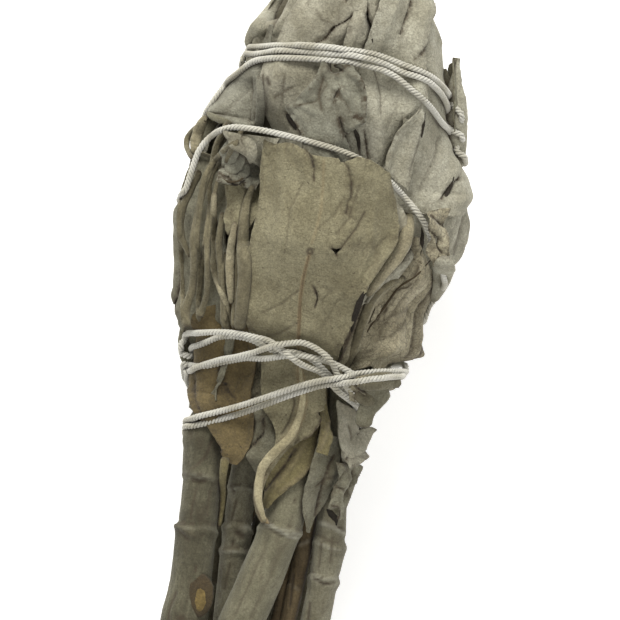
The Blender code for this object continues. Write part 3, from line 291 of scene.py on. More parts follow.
# Rows of distance along, offset to the right, height over the axis and radius
STEMS = {
    "stem_left": [(-61, -9.9, 2.6, 3.9), (-51, -9.9, 2.6, 3.8), (-48.5, -9.8, 2.6, 3.6), (-46, -9.9, 2.6, 3.4),
                  (-39, -10.4, 2.6, 3.35), (-37.6, -10.5, 2.6, 3.6), (-37, -10.4, 2.6, 3.15),
                  (-30, -11.0, 2.6, 2.95), (-29.2, -11.1, 2.7, 3.1), (-24, -11.4, 2.7, 3.0),
                  (-16, -11.4, 2.7, 2.9), (-5, -11, 2.7, 2.8)],
    "stem_inner_left": [(-59.5, -2.6, -1.5, 2.3), (-41, -3.8, -1.2, 2.35), (-40, -3.9, -1.1, 2.6),
                        (-39.2, -3.9, -1.1, 2.3), (-36.4, -4.0, -0.9, 2.6), (-35.4, -4.1, -0.9, 2.25),
                        (-30.4, -4.4, -0.6, 2.2), (-29.8, -4.5, -0.6, 2.4), (-28, -4.6, -0.5, 2.1),
                        (-16, -5, 0, 2.0), (-6, -5, 0, 2.0)],
    "stem_front": [(-60.5, -2.9, 5.3, 3.8), (-50, -0.6, 5.3, 3.75), (-44, 0.9, 5.3, 3.7), (-38, 2.2, 5.3, 3.5),
                   (-36, 2.6, 5.3, 3.55), (-35.2, 2.8, 5.3, 3.75), (-34.4, 2.9, 5.3, 3.4), (-28, 3.4, 5.0, 3.3),
                   (-20, 3.6, 5.0, 3.1), (-5, 3.4, 5.0, 3.0)],
    "stem_thin": [(-58.5, 6.3, 0.6, 1.3), (-48, 6.5, 0.8, 1.4), (-40, 6.9, 1.0, 1.4), (-30, 7.0, 1.0, 1.3),
                  (-16, 7.0, 0.6, 1.2)],
    "stem_right": [(-61.5, 10.7, 2.4, 2.6), (-50, 10.8, 2.4, 2.4), (-43.5, 10.9, 2.4, 2.4), (-42.2, 11.0, 2.4, 2.7),
                   (-41.2, 11.0, 2.4, 2.4), (-38, 11.0, 2.4, 2.6), (-36.5, 11.0, 2.4, 2.8), (-35, 10.8, 2.4, 2.5),
                   (-26, 10.8, 2.4, 2.4), (-16, 10.8, 2.4, 2.3), (-5, 10.5, 2.4, 2.2)],
    "stem_back_left": [(-60, -6.4, -6.285, 2.85), (-47, -6.5, -6.0, 2.75), (-45.8, -6.5, -6.0, 3.1),
                       (-44.8, -6.5, -6.0, 2.75), (-30, -6.9, -5.7, 2.7), (-16, -7.2, -5.5, 2.6),
                       (-5, -7.2, -5.5, 2.5)],
    "stem_back_middle": [(-62, 1.4, -5.4, 3.0), (-53, 1.4, -5.4, 3.0), (-51.8, 1.4, -5.4, 3.3),
                         (-50.8, 1.3, -5.4, 3.0), (-36, 1.0, -5.5, 2.9), (-16, 0.8, -5.7, 2.8),
                         (-5, 0.8, -5.7, 2.7)],
    "stem_back_right": [(-60, 7.9, -6.43, 2.7), (-41, 8.0, -6.0, 2.6), (-39.9, 8.0, -6.0, 2.95),
                        (-38.9, 8.0, -6.0, 2.6), (-28, 8.0, -5.7, 2.6), (-16, 8.0, -5.5, 2.5),
                        (-5, 8.0, -5.5, 2.4)],
}
# Towards the tips the stems draw together: distance along, share of their offsets and radius
GATHER = [(-24, 1.0), (-17, 0.86), (-11, 0.76), (-5, 0.66)]
STEM_SIDES = 64
STEM_STEP = 0.35
# Rings left by pairs of leaves: distance along, height of the ridge and its width. A pale woolly line runs on it
RINGS = {
    "stem_left": [(-37.3, 0.25, 0.5), (-29.4, 0.15, 0.4)],
    "stem_inner_left": [(-40.2, 0.2, 0.45), (-36.2, 0.25, 0.5), (-30.0, 0.2, 0.4)],
    "stem_front": [(-35.3, 0.2, 0.5), (-52, 0.12, 0.5)],
    "stem_thin": [(-44, 0.1, 0.4)],
    "stem_right": [(-42.2, 0.2, 0.5), (-36.5, 0.25, 0.7)],
    "stem_back_left": [(-45.8, 0.2, 0.5)],
    "stem_back_middle": [(-51.8, 0.2, 0.5), (-33, 0.15, 0.5)],
    "stem_back_right": [(-39.9, 0.2, 0.5)],
}
# Rings of a cut end, from the bark inwards: share of the radius, how far in from the end it lies and how dark it
# is. The pith is darker and sunk.
PITH = 0.3
CUT_END = [(0.985, 0.08, 0.5), (0.94, 0.0, 0.2), (0.8, -0.02, 0.1), (0.6, 0.0, 0.05), (PITH, 0.0, 0.1),
           (PITH * 0.8, 0.45, 0.9), (PITH * 0.35, 0.55, 1.0)]
# Relief of the bark, from long fine furrows to the slow swell of the stem, and how deep its cracks are
FURROWS, SWELL, CRACKS = 0.09, 0.1, 0.07

# Marks drawn on the bark as seen from the front, given as the strokes of stroke_marks
BARK = {
    "stem_left": [
        (0.55, -0.5, 1, 0, [(-12.5, -29.6), (-11.3, -29.8), (-10.4, -29.5)]),
        (0.5, 0.35, -0.4, 0, [(-13.2, -29), (-11.8, -28.9), (-10, -29)]),
        (0.4, 0.3, 0.2, 0, [(-13.2, -29), (-11.4, -26.8), (-10.4, -24)]),
        (0.35, -0.25, 0.5, 0, [(-12.6, -28), (-11, -26), (-9.6, -22)]),
        (0.5, 0.5, 0.25, 0, [(-14, -37.4), (-13, -37.5), (-11.6, -38.4), (-10.4, -38.7)]),
        (0.2, -0.2, 1, 0, [(-13.8, -37.9), (-12.4, -38.6), (-11.4, -39.4)]),
        (0.35, -0.3, 1, 0, [(-9.5, -43.4), (-9.4, -44.2)]),
        (0.25, -0.2, 0.9, 0, [(-12, -48), (-12.6, -51), (-12.2, -55)]),
        (1.4, -0.2, 0.7, 0, [(-10.5, -52), (-9, -53.5), (-8, -56)]),
        (0.25, -0.15, 0.5, 0, [(-11.6, -31), (-11.8, -34), (-11.6, -36)]),
        (0.25, -0.12, 0.4, 0, [(-9.4, -31), (-9.2, -35)])],
    "stem_inner_left": [
        (0.7, -0.4, 1, 0, [(-4, -36.9), (-3.1, -37.2)]), (0.5, 0.4, -0.3, 0, [(-3.4, -36), (-2.4, -37)]),
        (0.3, -0.3, 0.9, 0, [(-6, -30.2), (-5.6, -30.6)]), (0.25, -0.1, 0.6, 0, [(-5, -32), (-5.2, -35)]),
        (0.25, -0.15, 0.5, 0, [(-4.2, -42), (-4.4, -46)]), (0.4, -0.3, 0.6, 0, [(-4.4, -38.4), (-4.4, -39)])],
    "stem_front": [
        (0.3, 0.25, -0.9, 0, [(-0.6, -34.1), (1, -34.7), (2.6, -35.4), (4.4, -36), (5.8, -36)]),
        (0.25, -0.15, 0.5, 0, [(-0.4, -34.6), (1.4, -35.5), (3.2, -36.1)]),
        (0.2, 0, 0.8, 0, [(5, -25), (5.2, -25.3)]), (0.22, 0, 0.7, 0, [(1.2, -43), (1.3, -43.3)]),
        (0.22, 0, 0.7, 0, [(4.2, -30), (4.3, -30.3)]), (0.2, -0.1, 0.4, 0, [(3.4, -38), (2.4, -43), (0.6, -50)]),
        (0.2, -0.1, 0.35, 0, [(0.4, -40), (-1, -46), (-3, -53)])],
    "stem_thin": [
        (0.4, 0.3, -0.6, 0, [(6.4, -37), (7.6, -36.2)]), (0.3, -0.2, 0.8, 0, [(6, -42), (6.4, -47)])],
    "stem_right": [
        (0.5, 0.4, -0.7, 0, [(9, -33), (11.2, -33.4), (12.8, -34)]), (0.5, -0.5, 1, 0, [(12, -33.2), (12.9, -33.4)]),
        (0.35, -0.4, 1, 0, [(9.4, -42), (11, -42.6), (12.8, -42.2)]),
        (0.4, 0.35, -0.4, 0, [(9, -41.4), (11, -41.8), (13, -41.4)]),
        (0.6, -0.4, 1, 0, [(10.2, -30.8), (11, -31.6)]), (0.3, -0.2, 0.7, 0, [(9.4, -46), (9.6, -50)]),
        (0.25, -0.15, 0.5, 0, [(11.2, -35), (11.6, -39)]), (0.25, -0.15, 0.5, 0, [(9.6, -36), (9.8, -40)])],
}

stem_looks = {
    # The left stem's bark is the same bark made darker, as painted shade on the stick's left flank.
    "stem_left": plant_look("bark_left_painted_shade", (0.14, 0.13, 0.083), (0.058, 0.052, 0.031), rib=(0.26, 0.25, 0.19),
                            bump=0.8, sheen=0.1, Net=0.15, Specks=0.5, Stripes=0.6),
    "stem_front": plant_look("bark_front", (0.19, 0.177, 0.115), (0.122, 0.112, 0.07), rib=(0.36, 0.35, 0.28),
                             bump=0.6, sheen=0.15, Net=0.1, Specks=0.25, Stripes=0.35),
    "stem_thin": plant_look("bark_thin", (0.14, 0.105, 0.055), (0.08, 0.056, 0.027), rib=(0.26, 0.24, 0.18), bump=0.7,
                            sheen=0.05, Net=0.1, Specks=0.3, Stripes=0.5),
    "other": plant_look("bark_grey", (0.2, 0.187, 0.13), (0.115, 0.104, 0.066), rib=(0.38, 0.37, 0.3), bump=0.8,
                        sheen=0.12, Net=0.15, Specks=0.35, Stripes=0.5),
}


def stroke_marks(x, y, strokes, seed):
    """Relief, browning, rib colour and cutting of strokes drawn on a leaf as seen from its front. Each stroke is its
    width, how much it stands out, how brown it is (below nought: how much of the rib's colour it has), half the width
    of the gap it leaves, and its points. The brown draws the leaves' own browning and also painted shadow lines in
    their hollows."""
    relief, brown, pale, cut = np.zeros(x.shape), np.zeros(x.shape), np.zeros(x.shape), np.full(x.shape, 9.0)
    wander = rough(np.stack([x, y], -1), 1.2, seed, 3) * 0.22
    for width, out_by, colour, gap, line in strokes:
        line = np.array(line, float)
        best, gone_to = np.full(x.shape, 1e9), np.zeros(x.shape)
        step = np.r_[0, np.cumsum(np.linalg.norm(np.diff(line, axis=0), axis=1))]
        for k in range(len(line) - 1):
            d = line[k + 1] - line[k]
            t = np.clip(((x - line[k, 0]) * d[0] + (y - line[k, 1]) * d[1]) / max(d @ d, 1e-9), 0, 1)
            off = np.hypot(x - line[k, 0] - t * d[0], y - line[k, 1] - t * d[1])
            gone_to = np.where(off < best, step[k] + t * np.linalg.norm(d), gone_to)
            best = np.minimum(best, off)
        taper = np.sqrt(np.clip(np.sin(np.pi * np.clip(gone_to / max(step[-1], 0.01), 0.02, 0.98)), 0, 1))
        off = np.abs(best + wander * min(1, width))
        relief += out_by * hump(off, width) * (0.5 + 0.5 * taper)
        brown = np.maximum(brown, np.minimum(1, colour * 1.6) * hump(off, max(width * 0.6, 0.22)))
        pale = np.maximum(pale, -colour * hump(off, max(width * 0.8, 0.2)))
        if gap:
            cut = np.minimum(cut, off - gap * taper)
    return relief, brown, pale, cut


def tube_faces(rings, sides):
    """Sides of a tube whose rings follow each other, open at both ends."""
    i, j = (q.ravel() for q in np.meshgrid(np.arange(rings - 1), np.arange(sides), indexing="ij"))
    a, b = i * sides + j, i * sides + (j + 1) % sides
    return np.stack([a, b, b + sides, a + sides], 1)


for seed, (name, rows) in enumerate(STEMS.items()):
    y, x, z, r = (np.array(c, float) for c in zip(*rows))
    along = np.linspace(y[0], y[-1], int((y[-1] - y[0]) / STEM_STEP))
    draw = table(GATHER, along)
    across, up, radius = (np.interp(along, y, q) * draw for q in (x, z, r))
    for _ in range(4):
        across[1:-1], up[1:-1] = (0.5 * q[1:-1] + 0.25 * (q[2:] + q[:-2]) for q in (across, up))
    turn = 2 * np.pi * np.arange(STEM_SIDES) / STEM_SIDES
    ring = np.stack([np.sin(turn), 0 * turn, np.cos(turn)], -1)
    axis = np.stack([across + SHIFT_X, along + SHIFT_Y, axis_height(along) + up], -1)
    flat = axis[:, None] + ring[None] * radius[:, None, None]
    bark = rough(flat * (1, 0.22, 1), 1.3, seed) * FURROWS + rough(flat, 5.0, seed + 40) * SWELL
    pale, worn = np.zeros(bark.shape), np.zeros(bark.shape)
    for where, height, width in RINGS[name]:
        wavy = where + 0.35 * np.sin(turn * 2 + seed) + 0.25 * rough(flat, 2.0, seed + 70)
        off = along[:, None] - wavy
        bark += 0.6 * height * hump(off, width) - 0.35 * height * hump(off - 1.6 * width, width * 0.8)
        pale = np.maximum(pale, hump(off, 0.25) * np.clip(0.3 + 0.8 * rough(flat, 1.4, seed + 33), 0, 0.7))
        worn = np.maximum(worn, 0.7 * hump(off - 1.5 * width, 0.35) * (rough(flat, 1.0, seed + 9) > 0))
    seen = np.clip(np.cos(turn) * 3, 0, 1)[None]
    relief, brown, light, _ = stroke_marks(flat[..., 0] - SHIFT_X, flat[..., 1] - SHIFT_Y, BARK.get(name, ()), seed)
    bark += relief * seen
    pale, worn = np.maximum(pale, light * seen), np.maximum(worn, brown * seen)
    fissure = hump(rough(flat * (1, 0.12, 1), 1.6, seed + 15, 2), 0.06)
    bark -= CRACKS * fissure
    worn = np.maximum(worn, 0.35 * fissure)
    grown = radius[:, None] * 0.985 + bark
    foot, top = ([axis[end] + np.array([0, sign * inwards, 0]) + ring * (grown[end] * share)[:, None]
                  for share, inwards, _ in CUT_END] for end, sign in ((0, 1), (-1, -1)))
    body = axis[:, None] + ring[None] * grown[..., None]
    points = np.vstack([np.array(foot)[::-1].reshape(-1, 3), body.reshape(-1, 3), np.array(top).reshape(-1, 3)])
    rings = len(points) // STEM_SIDES
    faces = [tuple(f) for f in tube_faces(rings, STEM_SIDES)]
    faces += [tuple(range(STEM_SIDES - 1, -1, -1)), tuple(range(len(points) - STEM_SIDES, len(points)))]
    marks = np.zeros((rings, STEM_SIDES, 3))
    marks[len(CUT_END):-len(CUT_END), :, 0] = pale
    marks[len(CUT_END):-len(CUT_END), :, 1] = worn
    darkness = [row[2] for row in CUT_END]
    marks[..., 1] = np.maximum(marks[..., 1], np.r_[darkness[::-1], np.zeros(len(along)), darkness][:, None])
    stem = new_piece(name + "_wood", points, faces, stem_looks.get(name, stem_looks["other"]), marks.reshape(-1, 3))
    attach(stem, "root")
    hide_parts(name)


# Twine, first its route. It is one length of soft cotton, wound round and over the leaves, and it bites into
# them, so every leaf under it is pressed in. The route is the middle of the twine's own solid.
HALF_WIDTH = [(-62, 13.0), (-50, 13.0), (-38, 13.5), (-30, 13.3), (-22, 14.7), (-16, 15.0), (-12, 16.8),
              (-7, 18.9), (-2, 19.4), (3, 21.2), (9, 22.6), (14.5, 23.8), (20, 22.7), (27, 21.8), (34, 19.9),
              (40, 17.6), (46, 16.1), (52, 13.2), (58, 9), (64, 6)]
DEPTH = [(-62, 0.84), (0, 0.84), (10, 0.9), (22, 0.9), (40, 0.88), (64, 0.9)]
DEPTH_BELOW = [(-62, 0.84), (-20, 0.84), (-12, 0.73), (-2, 0.73), (8, 0.78), (20, 0.8), (40, 0.84), (64, 0.84)]
BITE = 0.4
BITE_WIDTH = 1.5
# The woody foot of the stick gives less: distance along, share of the bite
GIVES = [(-22, 0.2), (-14, 1.0)]
# How far the surfaces of the twine and of the inner leaves lie inside their solids
TWINE_IN = 0.25
INNER_IN = 0.25


def outline_radius(angle, y):
    """Radius of the stick's oval section, which is flatter below."""
    a = np.radians(angle)
    wide = table(HALF_WIDTH, y)
    deep = wide * np.where(np.cos(a) > 0, table(DEPTH, y), table(DEPTH_BELOW, y))
    return 1 / np.sqrt((np.sin(a) / wide) ** 2 + (np.cos(a) / deep) ** 2)


def read_node(name):
    """Corners and triangles of a CAD node, in millimetres, with the corners that meet made one."""
    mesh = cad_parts[name].data
    mesh.calc_loop_triangles()
    points = np.empty(len(mesh.vertices) * 3, np.float32)
    mesh.vertices.foreach_get("co", points)
    faces = np.empty(len(mesh.loop_triangles) * 3, np.int32)
    mesh.loop_triangles.foreach_get("vertices", faces)
    points = points.reshape(-1, 3).astype(float) * 1000
    _, first, number = np.unique(np.round(points, 2), axis=0, return_index=True, return_inverse=True)
    return points[first], number.reshape(-1)[faces.reshape(-1, 3)]


def on_stick(points):
    """(angle, along, radius) of points in millimetres."""
    along = points[..., 1] - SHIFT_Y
    x, z = points[..., 0] - SHIFT_X, points[..., 2] - axis_height(along)
    return np.degrees(np.arctan2(x, z)), along, np.hypot(x, z)


def twine_route():
    """Middles of the rings of the twine's solid, in order from one end to the other."""
    points, faces = read_node("twine")
    near = [set() for _ in points]
    for a, b, c in faces:
        near[a] |= {b, c}
        near[b] |= {a, c}
        near[c] |= {a, b}
    odd = {k for k, others in enumerate(near) if len(others) != 6}
    start = min(odd)
    level = {start} | (near[start] & odd)
    level |= set().union(*(near[k] for k in level)) & odd
    done, middles = set(), []
    while level:
        middles.append(points[sorted(level)].mean(0))
        done |= level
        level = set().union(*(near[k] for k in level)) - done
    return np.array(middles)


def even_line(points, count=0, step=0.0):
    """The smooth line through the points as evenly spaced points, by their number or their spacing."""
    points = np.array(points, float)
    ext = np.vstack([2 * points[0] - points[1], points, 2 * points[-1] - points[-2]])
    t = np.linspace(0, 1, 9)[:-1, None]
    line = [0.5 * (2 * b + (c - a) * t + (2 * a - 5 * b + 4 * c - d) * t ** 2 + (3 * b - a - 3 * c + d) * t ** 3)
            for a, b, c, d in zip(ext, ext[1:], ext[2:], ext[3:])]
    line = np.vstack(line + [points[-1:]])
    gone = np.r_[0, np.cumsum(np.linalg.norm(np.diff(line, axis=0), axis=1))]
    even = np.linspace(0, gone[-1], count or int(gone[-1] / step) + 1)
    return np.stack([np.interp(even, gone, q) for q in line.T], 1)


ROUTE_STEP = 0.3
route = even_line(twine_route(), step=ROUTE_STEP)
# Map of how far each place is pressed in, by whole degrees round and by steps along, and how far a bite reaches
MAP_Y, MAP_LOW, MAP_ROWS = 0.5, -66.0, 264
BITE_DEGREES, BITE_ROWS = 14, 8
pressed = np.zeros((360, MAP_ROWS))
route_angle, route_along, route_radius = on_stick(route)
for step_a in range(-BITE_DEGREES, BITE_DEGREES + 1):
    for step_y in range(-BITE_ROWS, BITE_ROWS + 1):
        i = np.round(route_angle).astype(int) + step_a
        j = np.round((route_along - MAP_LOW) / MAP_Y).astype(int) + step_y
        off_a = (i - route_angle) * np.radians(1) * route_radius
        off_y = j * MAP_Y + MAP_LOW - route_along
        near_it = hump(np.hypot(off_a, off_y), BITE_WIDTH) * table(GIVES, route_along)
        np.maximum.at(pressed, (i % 360, np.clip(j, 0, MAP_ROWS - 1)), near_it)


def press(angle, along):
    """Share, from 0 to 1, to which a place is pressed in by the twine over it."""
    a, y = np.mod(angle, 360), np.clip((along - MAP_LOW) / MAP_Y, 0, MAP_ROWS - 1.001)
    i, j = np.floor(a).astype(int), np.floor(y).astype(int)
    f, g = a - i, y - j
    top = pressed[i % 360, j] * (1 - f) + pressed[(i + 1) % 360, j] * f
    low = pressed[i % 360, j + 1] * (1 - f) + pressed[(i + 1) % 360, j + 1] * f
    return top * (1 - g) + low * g


# Leaves. Sage leaves dried grey-green to tan, thin as card, felted, cupped and torn. Each is a fine sheet
# down the middle of its own solid, with its veins, folds and torn rim, kept clear of what lies over and under.
THICK = 0.3
GRID = 0.32
# How far the outside of a leaf lies under the outside of its solid, and how wide a rim is left to tear
SKIN = 0.06
RIM = 0.12
# The ribs of the back leaves: height, how many pairs of side veins, and where the main one runs across
RIB_HEIGHT, VEIN_PAIRS, RIB_AT = 0.14, 9, 0.5
# The shares of the outline radius between which leaves lie
INSET = (0.84, 1.05)
# A radius outside everything, and the room where nothing lies over or under
FAR = 48.0
OPEN = 60.0
nodes = sorted(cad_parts)
all_points, all_faces, owner = [], [], []
for number, node in enumerate(nodes):
    points, faces = read_node(node)
    all_faces.append(faces + sum(map(len, all_points)))
    all_points.append(points)
    owner += [number] * len(faces)
everything = BVHTree.FromPolygons(np.vstack(all_points).tolist(), np.vstack(all_faces).tolist())
# Solids that aren't thin sheets
RODS = ("petiole_outer", "petiole_second", "petiole_third", "petiole_fourth", "petiole_fifth", "dry_roll",
        "left_loop", "twine", "inner_leaves")
sheet_like = [node not in RODS and not node.startswith("stem_") or node == "stem_scrap" for node in nodes]
sunk_in = [{"twine": TWINE_IN, "inner_leaves": INNER_IN}.get(node, 0.0) for node in nodes]


def drawn_angle(x, y, facing, inset=1.0):
    """Angle round the stick of a point drawn as seen from the facing angle, for a surface that lies at the
    inset share of the outline radius. What is drawn past the edge wraps on round."""
    wide, deep = outline_radius(facing + 90, y), outline_radius(facing, y)
    share = np.asarray(x) / wide
    near_edge = np.clip((np.abs(share) - 0.3) / 0.65, 0, 1)
    near_edge = near_edge ** 2 * (3 - 2 * near_edge)
    share = share / (inset + (1 - inset) * near_edge)
    part = np.clip(share, -1, 1)
    inside = np.degrees(np.arctan2(part * wide, deep * np.sqrt(1 - part ** 2)))
    return facing + inside + 60 * np.sign(share) * np.maximum(np.abs(share) - 1, 0)


def smooth_weights(at, old):
    """Weights that read a smooth line through old values at these places, held level beyond its ends."""
    at = np.clip(at, 0, 1) * (old - 1)
    k = np.clip(np.floor(at).astype(int), 0, old - 2)
    f = at - k
    w = np.zeros((len(at), old + 2))
    for step, part in enumerate((2 * f ** 2 - f - f ** 3, 2 - 5 * f ** 2 + 3 * f ** 3, f + 4 * f ** 2 - 3 * f ** 3,
                                 f ** 3 - f ** 2)):
        w[np.arange(len(at)), k + step] += part / 2
    w[:, 1] += 2 * w[:, 0]
    w[:, 2] -= w[:, 0]
    w[:, -2] += 2 * w[:, -1]
    w[:, -3] -= w[:, -1]
    return w[:, 1:-1]


def finer(values, rows, cols):
    """A smooth grid through a coarse one, of that many rows and columns or at those places from 0 to 1."""
    rows, cols = (np.linspace(0, 1, q) if np.isscalar(q) else q for q in (rows, cols))
    return smooth_weights(rows, values.shape[0]) @ values @ smooth_weights(cols, values.shape[1]).T


def between(values, rows, cols):
    """A finer grid of that many rows and columns, straight between the points of a coarse one."""
    values = np.stack([np.interp(np.linspace(0, 1, rows), np.linspace(0, 1, len(values)), q) for q in values.T], 1)
    return np.stack([np.interp(np.linspace(0, 1, cols), np.linspace(0, 1, values.shape[1]), q) for q in values])


def least_near(values):
    """The least of each value and those next to it."""
    pad = np.pad(values, 1, mode="edge")
    rows, cols = values.shape
    return np.min([pad[i:i + rows, j:j + cols] for i in range(3) for j in range(3)], axis=0)


def solid_grid(name, left, right, facing, rows, cols, ragged):
    """(angle, along, inner radius, outer radius) at the points of the grid that a leaf's solid was made on."""
    rng = np.random.default_rng(sum(map(ord, name)))
    (x0, y0), (x1, y1) = even_line(left, rows).T, even_line(right, rows).T
    x0, x1 = (x + rng.uniform(-1, 1, rows) * ragged for x in (x0, x1))
    t = np.linspace(0, 1, cols)[None]
    along = y0[:, None] * (1 - t) + y1[:, None] * t
    along[0] += rng.uniform(-1, 1, cols) * ragged
    along[-1] += rng.uniform(-1, 1, cols) * ragged
    own_angle, own_along, own_radius = on_stick(read_node(name)[0])
    inset0 = inset1 = 0.95
    for _ in range(3):
        a0, a1 = drawn_angle(x0, y0, facing, inset0), drawn_angle(x1, y1, facing, inset1)
        guess = a0[:, None] * (1 - t) + a1[:, None] * t
        turn = (own_angle[None, None] - guess[..., None] + 180) % 360 - 180
        off = np.abs(own_along[None, None] - along[..., None]) * 30 + np.abs(turn) * 0.3
        best = off.argmin(-1)
        angle = guess + np.take_along_axis(turn, best[..., None], -1)[..., 0]
        same = (np.abs(own_along[None, None] - own_along[best][..., None]) < 0.03) & (
            np.abs((own_angle[None, None] - own_angle[best][..., None] + 180) % 360 - 180) < 0.2)
        low = np.where(same, own_radius, 1e9).min(-1)
        high = np.where(same, own_radius, -1e9).max(-1)
        inset0 = (high[:, 0] / outline_radius(angle[:, 0], y0)).clip(*INSET)
        inset1 = (high[:, -1] / outline_radius(angle[:, -1], y1)).clip(*INSET)
    return angle, along, low, high


def layers_at(name, angle, along, middle):
    """The next sheet over and under each place of a leaf: (room from the middle outwards and inwards)."""
    me = nodes.index(name)
    over, under = np.full(angle.shape, OPEN), np.full(angle.shape, -OPEN)
    start = place(angle, along, FAR)
    a = np.radians(angle)
    way = np.stack([-np.sin(a), 0 * a, -np.cos(a)], -1)
    past = 0.002
    for k in np.ndindex(*angle.shape):
        here, step, gone, entered, reach = Vector(start[k]), Vector(way[k]), 0.0, {}, FAR - middle[k] + 5
        while gone < reach:
            hit = everything.ray_cast(here, step, reach - gone)
            if hit[0] is None:
                break
            gone += hit[3] + past
            here = hit[0] + step * past
            number = owner[hit[2]]
            if number == me:
                continue
            if number not in entered:
                entered[number] = FAR - gone
                continue
            outer, inner = entered.pop(number), FAR - gone
            if sheet_like[number]:
                top, low = outer - SKIN, outer - SKIN - THICK
            else:
                top, low = outer - sunk_in[number], inner - sunk_in[number]
            if (outer + inner) / 2 > middle[k]:
                over[k] = min(over[k], low)
            else:
                under[k] = max(under[k], top)
        for number, outer in entered.items():
            if outer < middle[k] + 0.3:
                under[k] = max(under[k], outer - sunk_in[number])
    return over, under


def outside_of(x, y, corners):
    """Distance of drawn places from a drawn area, negative inside it."""
    corners = np.array(corners, float)
    best, inside = np.full(x.shape, 1e9), np.zeros(x.shape, bool)
    for (ax, ay), (bx, by) in zip(corners, np.roll(corners, -1, 0)):
        dx, dy = bx - ax, by - ay
        t = np.clip(((x - ax) * dx + (y - ay) * dy) / max(dx * dx + dy * dy, 1e-9), 0, 1)
        best = np.minimum(best, np.hypot(x - ax - t * dx, y - ay - t * dy))
        inside ^= ((ay > y) != (by > y)) & (x < ax + (y - ay) * dx / (dy if abs(dy) > 1e-9 else 1e-9))
    return np.where(inside, -best, best)


def keep_inside(points, faces, keep, extra):
    """Cut triangles along the line where keep is nought: (points, faces, extra) of what stays."""
    inside = keep > 0
    count = inside[faces].sum(1)
    whole = faces[count == 3]
    some = faces[(count == 1) | (count == 2)]
    some_count = count[(count == 1) | (count == 2)]
    odd = np.where(some_count[:, None] == 1, inside[some], ~inside[some]).argmax(1)
    a, b, c = (some[np.arange(len(some)), (odd + k) % 3] for k in range(3))
    ends = np.concatenate([np.stack([a, b], 1), np.stack([a, c], 1)])
    unique, number = np.unique(np.sort(ends, axis=1), axis=0, return_inverse=True)
    number = number.reshape(-1) + len(points)
    share = keep[unique[:, 0]] / (keep[unique[:, 0]] - keep[unique[:, 1]])
    share = np.clip(share, 0.02, 0.98)[:, None]
    new = points[unique[:, 0]] * (1 - share) + points[unique[:, 1]] * share
    new_extra = extra[unique[:, 0]] * (1 - share) + extra[unique[:, 1]] * share
    ab, ac = number[:len(a)], number[len(a):]
    one = some_count == 1
    small = np.stack([a, ab, ac], 1)[one]
    large = np.concatenate([np.stack([ab, b, c], 1)[~one], np.stack([ab, c, ac], 1)[~one]])
    return np.vstack([points, new]), np.concatenate([whole, small, large]), np.vstack([extra, new_extra])


def close_sheet(points, faces, extra, half, outward):
    """A closed sheet of that half thickness about a surface, as (points, faces, number of flat rim faces, marks)."""
    used, number = np.unique(faces, return_inverse=True)
    points, extra, half, outward = points[used], extra[used], half[used], outward[used]
    faces = number.reshape(-1, 3)
    way = np.zeros_like(points)
    cross = np.cross(points[faces[:, 1]] - points[faces[:, 0]], points[faces[:, 2]] - points[faces[:, 0]])
    if (cross * outward[faces[:, 0]]).sum() < 0:
        faces, cross = faces[:, ::-1], -cross
    for k in range(3):
        np.add.at(way, faces[:, k], cross)
    way /= np.maximum(np.linalg.norm(way, axis=1), 1e-9)[:, None]
    n = len(points)
    ends = np.concatenate([faces[:, [0, 1]], faces[:, [1, 2]], faces[:, [2, 0]]])
    _, first, uses = np.unique(np.sort(ends, axis=1), axis=0, return_index=True, return_counts=True)
    rim = ends[first[uses == 1]]
    rim_faces = np.stack([rim[:, 1], rim[:, 0], rim[:, 0] + n, rim[:, 1] + n], 1)
    all_faces = [tuple(f) for f in faces] + [tuple(f) for f in faces[:, ::-1] + n] + [tuple(f) for f in rim_faces]
    both = np.vstack([points + way * half[:, None], points - way * half[:, None]])
    return both, all_faces, len(rim_faces), np.vstack([extra, extra])


CRUMB = 60


def one_patch(faces):
    """The triangles without crumbs of only a few that have come loose from the rest."""
    parent = np.arange(faces.max() + 1)
    while True:
        low = parent[faces].min(1)
        new = parent.copy()
        for k in range(3):
            np.minimum.at(new, faces[:, k], low)
        new = new[new]
        if (new == parent).all():
            break
        parent = new
    label = parent[faces[:, 0]]
    _, number, size = np.unique(label, return_inverse=True, return_counts=True)
    return faces[size[number.reshape(-1)] >= CRUMB]


def reach_line(points, at):
    """Smooth line through drawn points at places from 0 to 1, going straight on beyond its ends."""
    last, end = 239, 8
    line = even_line(points, last + 1)
    inside = np.stack([np.interp(np.clip(at, 0, 1) * last, np.arange(last + 1), q) for q in line.T], 1)
    before = np.minimum(at, 0)[:, None] * (line[end] - line[0]) * last / end
    after = np.maximum(at - 1, 0)[:, None] * (line[-1] - line[-1 - end]) * last / end
    return (inside + before + after).T


